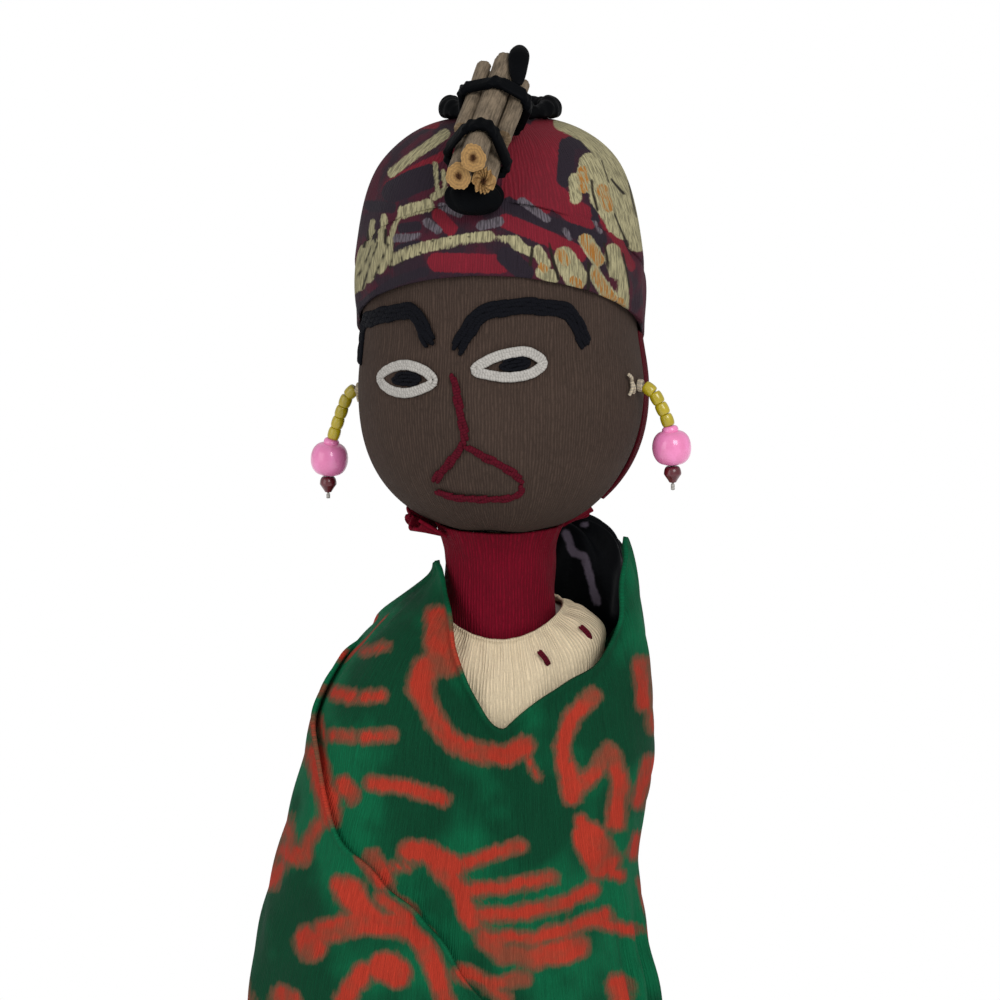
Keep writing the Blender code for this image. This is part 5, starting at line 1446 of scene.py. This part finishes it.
def make_face_stitches(doll):
    """Brows, eyes, pupils, nose and mouth in thread. For each: the offsets of its rows, a stitch's
    length, overlap, slant and radius, and the thread. Eyes are closed lines, pupils lenses."""
    brow = (-0.0011, -0.0004, 0.0004, 0.0011), 0.0046, 0.45, 0.0003, 0.00056, "dark_strand"
    eye = (-0.0005, 0, 0.0005), 0.0042, 0.5, 0.0001, 0.00050, "pale_strand"
    pupil = (-0.0012, -0.0004, 0.0004, 0.0012), 0.0032, 0.3, 0.0002, 0.00040, "dark_strand"
    lip = (-0.0003, 0.0003), 0.0040, 0.4, 0.0006, 0.00052, "red_strand"
    taper = 0.35 + 0.65 * np.sin(math.pi * np.linspace(0, 1, STITCH_POINTS)) ** 0.4
    for node, places, (offsets, length, overlap, slant, radius, strand) in (
        ("left_brow", LEFT_BROW, brow),
        ("right_brow", RIGHT_BROW, brow),
        ("left_eye", LEFT_EYE, eye),
        ("right_eye", RIGHT_EYE, eye),
        ("left_pupil", LEFT_PUPIL, pupil),
        ("right_pupil", RIGHT_PUPIL, pupil),
        ("nose_stitch", NOSE, lip),
        ("mouth_stitch", MOUTH_LINES, lip),
    ):
        closed, lens = node.endswith("eye"), node.endswith("pupil")
        if places is MOUTH_LINES:
            lines = [seen_on(route(pixels, 60), face_reach) for pixels in places]
        else:
            lines = [on_head(*route(places, 240, closed).T)]
        rows = [
            stitched(line, closed, offsets, length, overlap, slant, radius * 0.6, lens)
            for line in lines
        ]
        paths, normals = (np.concatenate(part) for part in zip(*rows))
        name = node.removesuffix("_stitch") + "_stitches"
        mesh = strands(name, paths, radius * doll.stitch * taper, 8, normals, 0.8)
        piece(mesh, "head", look(strand, doll), node)


def make_headwrap(doll):
    """The printed headcloth: a crown from its pole to the band with soft wrinkles, and the band as
    a flat roll."""
    cotton = look("printed_cotton", doll)
    layers = {
        key: print_paths(strokes, wrap_radius, wrap_copies) for key, strokes in WRAP_LAYERS.items()
    }
    turn = around(WRAP_COLUMNS)
    turn = turn - FRONT_CROWDING * np.sin(turn)
    low, high = band_edge(turn, BAND_LOW_SHARES), band_edge(turn, BAND_HIGH_SHARES)
    edge = high - CROWN_HEM
    rows = down_outline(outline(crown_radius, WRAP_TOP, 0.235), turn, WRAP_TOP, edge, CROWN_ROWS)
    printed = {key: ink(rows, paths) for key, paths in layers.items()}
    height = rows[..., 2]
    wrinkle = 0.00035 * np.sin(5 * turn + 160 * height + 1.5 * np.sin(3 * turn))
    wrinkle = wrinkle + 0.00025 * np.sin(11 * turn - 120 * height)
    wrinkle = wrinkle * ease((0.2865 - height) / 0.01) - 0.0003 * hill(height - edge, 0.0009)
    points = pushed(rows, wrinkle)
    points[0] = rows[0].mean(axis=0)
    mesh = closed_up(cloth("wrap_crown", points, True, printed), solid=False)
    crown = piece(mesh, "head", cotton, "headwrap_crown")
    thicken(crown, CROWN_THICKNESS)
    middle, half = (low + high) / 2, (high - low) / 2
    lean, rise, swell = flat_oval(65)
    height = middle + half * rise
    sag = 0.00025 * np.sin(8 * turn + 300 * (height - middle)) + 0.0002 * np.sin(19 * turn + 2)
    out = BAND_THICKNESS / 2 * swell + sag * (np.sin(lean) > 0)
    flat = ring_points(turn, head_radius(height) + BAND_THICKNESS, height)
    printed = {key: ink(flat, paths) for key, paths in layers.items()}
    points = ring_points(turn, head_radius(height) + GAP + out, height)
    mesh = cloth("wrap_band", points, True, printed, True)
    piece(mesh, "head", cotton, "headwrap_band")


def make_hood(doll):
    """The crimson cloth over the back of the head, darkened by half as painted shade, its gathered
    edge and the ribbed neck.
    """
    crimson = look("crimson_jersey", doll)
    turn = np.radians(np.linspace(*HOOD_TURNS, 190))
    top = band_edge(turn, BAND_LOW_SHARES) - GAP
    rows = down_outline(outline(head_radius, *HOOD_SPAN), turn, top, HOOD_FOOT, 90)
    side = np.minimum(turn - turn[0], turn[-1] - turn)
    wave = 0.0003 * np.sin(9 * turn + 110 * rows[..., 2]) + 0.0002 * np.sin(24 * turn)
    points = pushed(rows, HOOD_LIFT + wave * ease(side / 0.2) - 0.0007 * hill(side, 0.05), False)
    mesh = cloth("hood_cloth", points, False)
    # The hood's cloth is the crimson jersey darkened by half: painted shade
    hood = piece(mesh, "head", look("hood_jersey", doll), "head_hood")
    thicken(hood, HOOD_THICKNESS)
    turn = np.radians(np.linspace(*FRILL_TURNS, 420))
    share = np.linspace(0, 1, 26)[:, None]
    along = np.linspace(0, 2 * math.pi, 420)
    wave = 0.0011 * np.cos(FRILL_WAVES * along) + 0.0005 * np.cos(23 * along + 1)
    reach = FRILL_START + share * FRILL_WIDTH + 0.0005 * share * np.sin(50 * turn)
    height = HEAD_BOTTOM + 0.0002 + share * (FRILL_RISE + wave)
    mesh = cloth("frill_cloth", ring_points(turn, reach, height), False)
    frill = piece(mesh, "head", crimson, "hood_frill")
    thicken(frill, FRILL_THICKNESS)
    turn = around(200)
    height = np.linspace(NECK_TOP, NECK_FOOT, 60)[:, None]
    flare = np.clip((height - NECK_FLARE_START) / (NECK_TOP - NECK_FLARE_START), 0, 1) ** 1.6
    crease = 0.00018 * np.sin(7 * turn + 500 * height) + 0.00021 * np.sin(26 * turn) * flare
    points = ring_points(turn, NECK_RADIUS + NECK_FLARE * flare + crease, height)
    sleeve = piece(cloth("neck_jersey", points), "head", crimson, "neck_sleeve")
    thicken(sleeve, NECK_THICKNESS)


def make_ring(doll):
    """The black ring on the crown, thinner in front, and the black cushion under the firewood,
    partly painted shadow under the sticks' front ends.
    """
    black = look("black_satin", doll)
    turn = around(220)
    thick = RING_THIN_RADIUS + (RING_THICK_RADIUS - RING_THIN_RADIUS) * (1 - np.cos(turn)) / 2
    thick = np.maximum(thick, RING_THICK_RADIUS * np.sin(turn) ** 2)
    lean = np.linspace(math.pi / 2, -1.5 * math.pi, 41)[:, None]
    swell = 1 + 0.05 * np.sin(17 * turn + 2 * lean) + 0.05 * np.sin(31 * turn - lean)
    level = ring_points(turn, RING_RADIUS + thick * np.cos(lean) * swell, 0) + (0, RING_SET_BACK, 0)
    seat = crown_height(np.hypot(level[..., 0], level[..., 1]))
    points = level + up(seat + GAP + thick * (1 + np.sin(lean) * swell))
    black_piece("ring_cloth", points, "head", black, "head_ring")
    # The cushion's black is partly cloth and partly painted shadow under the sticks' front ends
    turn, centre = around(ROUNDED_COLUMNS), np.array(PAD[0])
    away = rounded(*PAD) - centre
    crease = 1 + 0.05 * np.sin(8 * turn + 900 * away[..., 2]) * np.abs(np.sin(turn))
    points = centre + away * crease[..., None]
    black_piece("front_cushion", points, "head", black, "front_pad")


def in_bundle(points):
    """Points of the firewood's own frame, in the doll's."""
    turn = Matrix.Rotation(BUNDLE_TURN, 3, "Z") @ Matrix.Rotation(BUNDLE_LEAN, 3, "X")
    return points @ np.array(turn).T + np.array(BUNDLE_ORIGIN)


def outline_round(circles, turn):
    """Where a band pulled round some circles runs, and its outward directions."""
    normal = np.stack([np.sin(turn), np.cos(turn)], 1)
    reach = np.array([normal @ circle[:2] + circle[2] for circle in circles])
    best = reach.argmax(axis=0)
    return circles[best, :2] + normal * circles[best, 2:], normal


def stick_mesh(number, x, z, start, end, radius):
    """A cut stick along the bundle: a fluted round that bends a little, closed by flat ends. Its
    front end slants and is jagged, most on the split one, and shows its grain."""
    turn = np.linspace(0, 2 * math.pi, 72, endpoint=False)
    flute = 1 + 0.035 * np.sin(3 * turn + number) + 0.03 * np.sin(7 * turn + 2 * number)
    flute = flute + 0.02 * np.sin(17 * turn + 5 * number)
    end_share, side = np.linspace(0, 0.985, STICK_END_ROWS), np.ones(STICK_SIDE_ROWS)
    share = np.concatenate([end_share, side, end_share[::-1]])[:, None]
    down = np.pad(np.linspace(0, 1, STICK_SIDE_ROWS), STICK_END_ROWS, "edge")[:, None]
    bend = 0.0001 * np.sin(down * 7 + number)
    reach = radius * flute * share * (1 + 0.02 * np.sin(9 * down + number))
    across, rise = reach * np.sin(turn) + bend, reach * np.cos(turn)
    jag = 0.0005 if number == SPLIT_STICK else 0.00006
    jag = jag * np.sin(11 * turn + 4 * np.sin(2 * turn) + share * 9)
    along = start + (end - start) * down + (STICK_CUT * rise + jag) * (1 - ease(down * 6))
    points = in_bundle(np.stack([x + across, along, z + rise], -1))
    shown = 1.0 if number <= 3 else UPPER_END_GRAIN
    grain = {"reach": share + 0 * turn, "end": (share < 0.99) * shown + 0 * turn}
    return cloth(f"firewood_{number}", points, True, grain, True)


def make_firewood(doll):
    """Five cut sticks, two cloth ties pulled round them and a loose tail."""
    bark, black = look("bark_and_end_grain", doll), look("black_satin", doll)
    sizes = (STICK_RADIUS, STICK_RADIUS, STICK_LENGTH, STICK_LENGTH, STICK_RADIUS)
    sticks = np.array(STICK_SHARES) * sizes
    for number, stick in enumerate(sticks, 1):
        piece(stick_mesh(number, *stick), "head", bark, f"stick_{number}")
    circles = sticks[:, [0, 1, 4]]
    turn = np.linspace(0, 2 * math.pi, 160, endpoint=False)
    lean, beside, swell = flat_oval(33)
    for name, node, share, held in (
        ("front_strip", "front_tie", TIE_SHARES[0], circles[:3]),
        ("rear_strip", "rear_tie", TIE_SHARES[1], circles),
    ):
        inner, normal = outline_round(held, turn)
        crease = 0.0002 * np.sin(12 * turn) * np.sin(lean * 2)
        flat = inner + normal * (GAP + TIE_THICKNESS / 2 * swell + crease)[..., None]
        along = share * STICK_LENGTH + TIE_WIDTH / 2 * beside + 0.0003 * np.sin(3 * turn)
        points = in_bundle(np.stack([flat[..., 0], along, flat[..., 1]], -1))
        black_piece(name, points, "head", black, node)
    tail = np.array(TIE_TAIL_SHARES) * (STICK_RADIUS, STICK_LENGTH, STICK_RADIUS, STICK_RADIUS)
    path = route(tail, 40)
    radii = 1.25 * path[:, 3] * squared(np.abs(np.linspace(-1, 1, 40)), 4) + 0.00005
    front = np.array((0.0, -1.0, 0.3))
    mesh = strands("loose_tail", in_bundle(path[:, :3]), radii, 24, front + 0 * path[:, :3], 0.5)
    # The tail gets no painted highlight
    layer = mesh.attributes.new("streak", "FLOAT", "POINT")
    layer.data.foreach_set("value", np.full(len(mesh.vertices), NO_PRINT, np.float32))
    piece(mesh, "head", black, "tie_tail")


def bead_outline(radius, length, end_radius, blunt):
    """A bead's closed section: a rounded side from top to bottom, then up its bore."""
    lean = np.linspace(math.pi / 2, -math.pi / 2, 25)
    swell = np.where(lean > 0, radius, end_radius + (radius - end_radius) * (1 + np.sin(lean)))
    rim = BEAD_BORE * 1.25
    side = rim + (np.maximum(swell, rim) - rim) * np.cos(lean) ** blunt
    reach = np.concatenate([[BEAD_BORE], side, [BEAD_BORE, BEAD_BORE]])
    height = np.concatenate([[length / 2], length / 2 * np.sin(lean), [-length / 2, length / 2]])
    return reach[:, None], height[:, None]


def placed(points, matrix):
    """Points moved by a matrix."""
    matrix = np.array(matrix)
    return points @ matrix[:3, :3].T + matrix[:3, 3]


def beads_of(seeds):
    """An earring's beads from the ear down: name, radius, length, radius at its lower end, colour,
    how far it reaches up over the gap, and how blunt its ends are."""
    seed = (*SEED, SEED[0], "yellow", SEED_FULLNESS, 0.42)
    return [(f"seed_bead_{i + 1}", *seed) for i in range(seeds)] + [
        ("collar_bead", *COLLAR_BEAD, COLLAR_BEAD[0], "pink", SEED_FULLNESS, 0.7),
        ("pink_bead", *PINK_BEAD, PINK_BEAD[0], "pink", PINK_FULLNESS, 0.7),
        ("tip_bead", *TIP_BEAD, TIP_END_RADIUS, "dark", 0, 0.7),
    ]


def ear_knot(start):
    """The ear's stitches, outwards, forwards and up: a coil that winds out of the ear, and three
    loose stitches that bow off the curve of the cheek."""
    share = np.linspace(0, 1, 90)
    turn = share * 19
    loops = [np.stack(
        [0.0001 + 0.0009 * share, COIL_RADIUS * np.cos(turn), COIL_RADIUS * np.sin(turn)], 1
    )]
    front, rise = start
    for lean, length in KNOT_STITCHES:
        run = share * length
        ahead = front + run * math.cos(lean)
        bow = 0.0003 + 0.0004 * np.sin(math.pi * share) - ahead**2 / (2 * CHEEK_RADIUS)
        loops.append(np.stack([bow, ahead, rise + run * math.sin(lean)], 1))
    return np.array(loops)


def make_earrings(doll):
    """Beads on a thread from a wound knot at each ear."""
    for side, (degrees, share, places, seeds) in EARRINGS.items():
        angle = math.radians(degrees)
        height = HEAD_BOTTOM + share * HEAD_HEIGHT
        start = direction(np.array(angle)) * (float(head_radius(height)) + GAP) + (0, 0, height)
        ear = Matrix.Translation(start) @ Matrix.Rotation(angle - math.pi / 2, 4, "Z")
        path = route(places, 80)
        along = lengths_along(path)
        reached = FIRST_BEAD_START
        for name, radius, length, end_radius, colour, fuller, blunt in beads_of(seeds):
            ends = np.array([reached, reached + length])
            (x0, x1), (z0, z1) = (np.interp(ends, along, column) for column in path.T)
            spot = Matrix.Translation(((x0 + x1) / 2, 0, (z0 + z1) / 2))
            spot = spot @ Matrix.Rotation(math.atan2(x0 - x1, z0 - z1), 4, "Y")
            spot = ear @ (spot @ Matrix.Translation((0, 0, fuller / 2)))
            shape = bead_outline(radius, length + fuller, end_radius, blunt)
            rings = placed(ring_points(around(48), *shape), spot)
            mesh = cloth(f"{side}_{name}_gloss", rings, solid=True)
            body = f"{side}_bead" if name == "pink_bead" else f"{side}_earring"
            piece(mesh, body, look(f"{colour}_gloss", doll), f"{side}_{name}")
            reached += length + BEAD_SPACING
        spots = np.append(np.linspace(0, reached, 70), reached + np.linspace(0.0002, 0.0014, 8))
        x, z = (np.interp(spots, along, column) for column in path.T)
        radii = np.where(spots < reached + 0.0001, THREAD_RADIUS, THREAD_KNOT_RADIUS)
        line = placed(np.stack([x, 0 * x, z], 1), ear)
        mesh = strands(f"{side}_string", line, radii, 12)
        piece(mesh, f"{side}_earring", look("pale_strand", doll), f"{side}_earring_thread")
        mesh = strands(f"{side}_knot", placed(ear_knot(KNOT_STARTS[side]), ear), KNOT_THREAD, 8)
        piece(mesh, "head", look("tan_strand", doll), f"{side}_ear_stitch")


def aimed(place, away):
    """The matrix of a lamp or camera that stands at a place and looks along a direction."""
    return Matrix.Translation(place) @ away.to_track_quat("-Z", "Y").to_matrix().to_4x4()


def make_stage(doll):
    """A pale floor that keeps the doll's shadow and is white to the camera further off, a white
    surround, two soft lamps, and the camera where the photograph was taken."""
    scene = bpy.context.scene
    corners = np.array([(-1, -1, 0), (1, -1, 0), (1, 1, 0), (-1, 1, 0)]) * FLOOR_REACH
    mesh = quads("floor", corners, np.array([[0, 1, 2, 3]]), corners[:, :2])
    floor = bpy.data.objects.new("floor", mesh)
    scene.collection.objects.link(floor)
    made = bpy.data.materials.new("pale_floor")
    made.use_nodes = True
    tree = made.node_tree
    tree.nodes.clear()
    mesh.materials.append(made)
    away = put(tree, "VectorMath", {0: put(tree, "TexCoord").outputs["Object"]}, operation="LENGTH")
    far = ramp(tree, away.outputs["Value"], *FLOOR_FADE)
    path = put(tree, "LightPath")
    seen = maths(tree, "ADD", path.outputs["Is Camera Ray"], path.outputs["Is Glossy Ray"])
    seen = maths(tree, "ADD", seen, path.outputs["Is Transmission Ray"], clamp=True)
    pale = put(tree, "BsdfDiffuse", {"Color": (0.82, 0.82, 0.82, 1)}).outputs[0]
    white = put(tree, "Emission", {"Color": (1, 1, 1, 1)}).outputs[0]
    share = maths(tree, "MULTIPLY", far, seen)
    both = put(tree, "MixShader", {0: share, 1: pale, 2: white}).outputs[0]
    put(tree, "OutputMaterial", {"Surface": both})
    world = bpy.data.worlds.new("surround")
    scene.world = world
    world.use_nodes = True
    tree = world.node_tree
    tree.nodes.clear()
    path = put(tree, "LightPath").outputs["Is Camera Ray"]
    strength = maths(tree, "MULTIPLY_ADD", path, 1 - doll.surround, doll.surround)
    light = put(tree, "Background", {"Color": (1, 1, 1, 1), "Strength": strength})
    put(tree, "OutputWorld", {"Surface": light.outputs[0]})
    for name, place, power, size in LAMPS:
        lamp = bpy.data.lights.new(name, "AREA")
        lamp.energy = power
        lamp.size = size
        obj = bpy.data.objects.new(name, lamp)
        scene.collection.objects.link(obj)
        obj.matrix_world = aimed(place, Vector(LAMP_TARGET) - Vector(place))
    camera = bpy.data.objects.new("camera", bpy.data.cameras.new("camera"))
    camera.data.sensor_width = SENSOR
    camera.data.lens = SENSOR * DISTANCE / VIEW_WIDTH
    camera.data.clip_start = 0.01
    camera.matrix_world = aimed(TARGET + TO_CAMERA * DISTANCE, Vector(-TO_CAMERA))
    scene.collection.objects.link(camera)
    scene.camera = camera
    scene.view_settings.view_transform = "Standard"


def colour_of(label, value, text):
    """A colour setting, given as it is usually written."""
    return FloatVectorProperty(
        name=label, description=text, subtype="COLOR", size=3, default=srgb(*value), min=0, max=1
    )


class DollSettings(bpy.types.PropertyGroup):
    """The sizes and colours that the dressing leaves free."""

    shawl_thickness: FloatProperty(
        name="Shawl thickness", description="How thick the shawl's cloth is",
        default=0.0009, min=0.0003, max=0.0015, unit="LENGTH", precision=5,
    )
    jersey: FloatProperty(
        name="Jersey thickness", description="How thick the dress's cloth is",
        default=0.0007, min=0.0003, max=0.0009, unit="LENGTH", precision=5,
    )
    stitch: FloatProperty(
        name="Stitch fullness", description="How full the face's threads are",
        default=1.0, min=0.7, max=1.3, subtype="FACTOR",
    )
    surround: FloatProperty(
        name="Surrounding light", description="How strong the even light from all round is",
        default=0.55, min=0.0, max=1.0, subtype="FACTOR",
    )
    shawl: colour_of("Shawl", (2, 104, 66), "The shawl's ground")
    print: colour_of("Print", (188, 58, 40), "The shawl's brush strokes")
    print_edge: colour_of("Print's edge", (112, 78, 56), "Where the strokes bleed and wear")
    dress: colour_of("Dress", (236, 216, 182), "The dress and sleeves")
    crimson: colour_of("Hood and neck", (124, 2, 32), "The crimson jersey")
    face: colour_of("Face", (77, 62, 54), "The stockinet of the face")
    wrap: colour_of("Headwrap", (126, 26, 42), "The headwrap's ground")
    black: colour_of("Black cloth", (4, 5, 7), "The ring, the ties and the bundle")
    bark: colour_of("Bark", (136, 120, 100), "The sticks' bark")
    end_grain: colour_of("End grain", (180, 140, 86), "The sticks' cut ends")
    pale: colour_of("Pale thread", (188, 184, 178), "The eyes' outline and the ear stitches")
    brow: colour_of("Dark thread", (8, 9, 15), "Brows and pupils")
    mouth: colour_of("Red thread", (88, 12, 30), "Nose, mouth and blouse stitches")
    yellow: colour_of("Yellow beads", (186, 166, 12), "The small beads")
    pink: colour_of("Pink beads", (236, 130, 182), "The large beads and their collars")
    tip: colour_of("Dark beads", (100, 10, 28), "The end beads")
    wood: colour_of("Wood", (205, 172, 132), "The base and the dowel")
    stuffing: colour_of("Stuffing", (226, 220, 206), "The fibre inside")


class Maker:
    """An operator that makes one group of pieces."""

    bl_options = {"REGISTER", "UNDO"}

    def execute(self, context):
        type(self).make(context.scene.cloth_doll)
        return {"FINISHED"}


class CLOTHDOLL_OT_filling(Maker, bpy.types.Operator):
    """Give the wood its grain and fill dress, neck and head"""

    bl_idname = "cloth_doll.filling"
    bl_label = "Wood and stuffing"
    make = staticmethod(make_filling)


class CLOTHDOLL_OT_dress(Maker, bpy.types.Operator):
    """Make the bodice, the skirt, the waist tie and the blouse stitches"""

    bl_idname = "cloth_doll.dress"
    bl_label = "Dress"
    make = staticmethod(make_dress)


class CLOTHDOLL_OT_arms(Maker, bpy.types.Operator):
    """Make the two sleeves"""

    bl_idname = "cloth_doll.arms"
    bl_label = "Arms"
    make = staticmethod(make_arms)


class CLOTHDOLL_OT_shawl(Maker, bpy.types.Operator):
    """Make the printed shawl and its end"""

    bl_idname = "cloth_doll.shawl"
    bl_label = "Shawl"
    make = staticmethod(make_shawl)


class CLOTHDOLL_OT_back_bundle(Maker, bpy.types.Operator):
    """Make the black bundle on the back"""

    bl_idname = "cloth_doll.back_bundle"
    bl_label = "Back bundle"
    make = staticmethod(make_back_bundle)


class CLOTHDOLL_OT_head(Maker, bpy.types.Operator):
    """Make the stockinet face"""

    bl_idname = "cloth_doll.head"
    bl_label = "Face"
    make = staticmethod(make_head)


class CLOTHDOLL_OT_face_stitches(Maker, bpy.types.Operator):
    """Embroider brows, eyes, nose and mouth"""

    bl_idname = "cloth_doll.face_stitches"
    bl_label = "Embroidery"
    make = staticmethod(make_face_stitches)


class CLOTHDOLL_OT_headwrap(Maker, bpy.types.Operator):
    """Make the printed headwrap"""

    bl_idname = "cloth_doll.headwrap"
    bl_label = "Headwrap"
    make = staticmethod(make_headwrap)


class CLOTHDOLL_OT_hood(Maker, bpy.types.Operator):
    """Make the crimson hood, its frill and the neck"""

    bl_idname = "cloth_doll.hood"
    bl_label = "Hood and neck"
    make = staticmethod(make_hood)


class CLOTHDOLL_OT_ring(Maker, bpy.types.Operator):
    """Make the black ring and the cushion under the firewood"""

    bl_idname = "cloth_doll.ring"
    bl_label = "Ring and cushion"
    make = staticmethod(make_ring)


class CLOTHDOLL_OT_firewood(Maker, bpy.types.Operator):
    """Make the sticks and their ties"""

    bl_idname = "cloth_doll.firewood"
    bl_label = "Firewood"
    make = staticmethod(make_firewood)


class CLOTHDOLL_OT_earrings(Maker, bpy.types.Operator):
    """Make the beads, their threads and the ear knots"""

    bl_idname = "cloth_doll.earrings"
    bl_label = "Earrings"
    make = staticmethod(make_earrings)


class CLOTHDOLL_OT_stage(Maker, bpy.types.Operator):
    """Set up the floor, the surround, the lamps and the camera"""

    bl_idname = "cloth_doll.stage"
    bl_label = "Stage"
    make = staticmethod(make_stage)


OPERATORS = (
    CLOTHDOLL_OT_stage,
    CLOTHDOLL_OT_filling,
    CLOTHDOLL_OT_dress,
    CLOTHDOLL_OT_arms,
    CLOTHDOLL_OT_shawl,
    CLOTHDOLL_OT_back_bundle,
    CLOTHDOLL_OT_head,
    CLOTHDOLL_OT_face_stitches,
    CLOTHDOLL_OT_headwrap,
    CLOTHDOLL_OT_hood,
    CLOTHDOLL_OT_ring,
    CLOTHDOLL_OT_firewood,
    CLOTHDOLL_OT_earrings,
)


class CLOTHDOLL_PT_panel(bpy.types.Panel):
    """The doll's settings and the buttons that make its pieces"""

    bl_idname = "CLOTHDOLL_PT_panel"
    bl_label = "Cloth doll"
    bl_space_type = "VIEW_3D"
    bl_region_type = "UI"
    bl_category = "Cloth doll"

    def draw(self, context):
        for name in DollSettings.__annotations__:
            self.layout.prop(context.scene.cloth_doll, name)
        for operator in OPERATORS:
            self.layout.operator(operator.bl_idname)


CLASSES = (DollSettings, *OPERATORS, CLOTHDOLL_PT_panel)


def register():
    """Registers the classes and hangs the settings on the scene."""
    for made in CLASSES:
        bpy.utils.register_class(made)
    bpy.types.Scene.cloth_doll = PointerProperty(type=DollSettings)


def unregister():
    """Takes the settings and the classes out again."""
    del bpy.types.Scene.cloth_doll
    for made in reversed(CLASSES):
        bpy.utils.unregister_class(made)


def main():
    """Registers the classes and makes every piece in turn."""
    register()
    for operator in OPERATORS:
        group, name = operator.bl_idname.split(".")
        getattr(getattr(bpy.ops, group), name)()


if __name__ == "__main__":
    main()
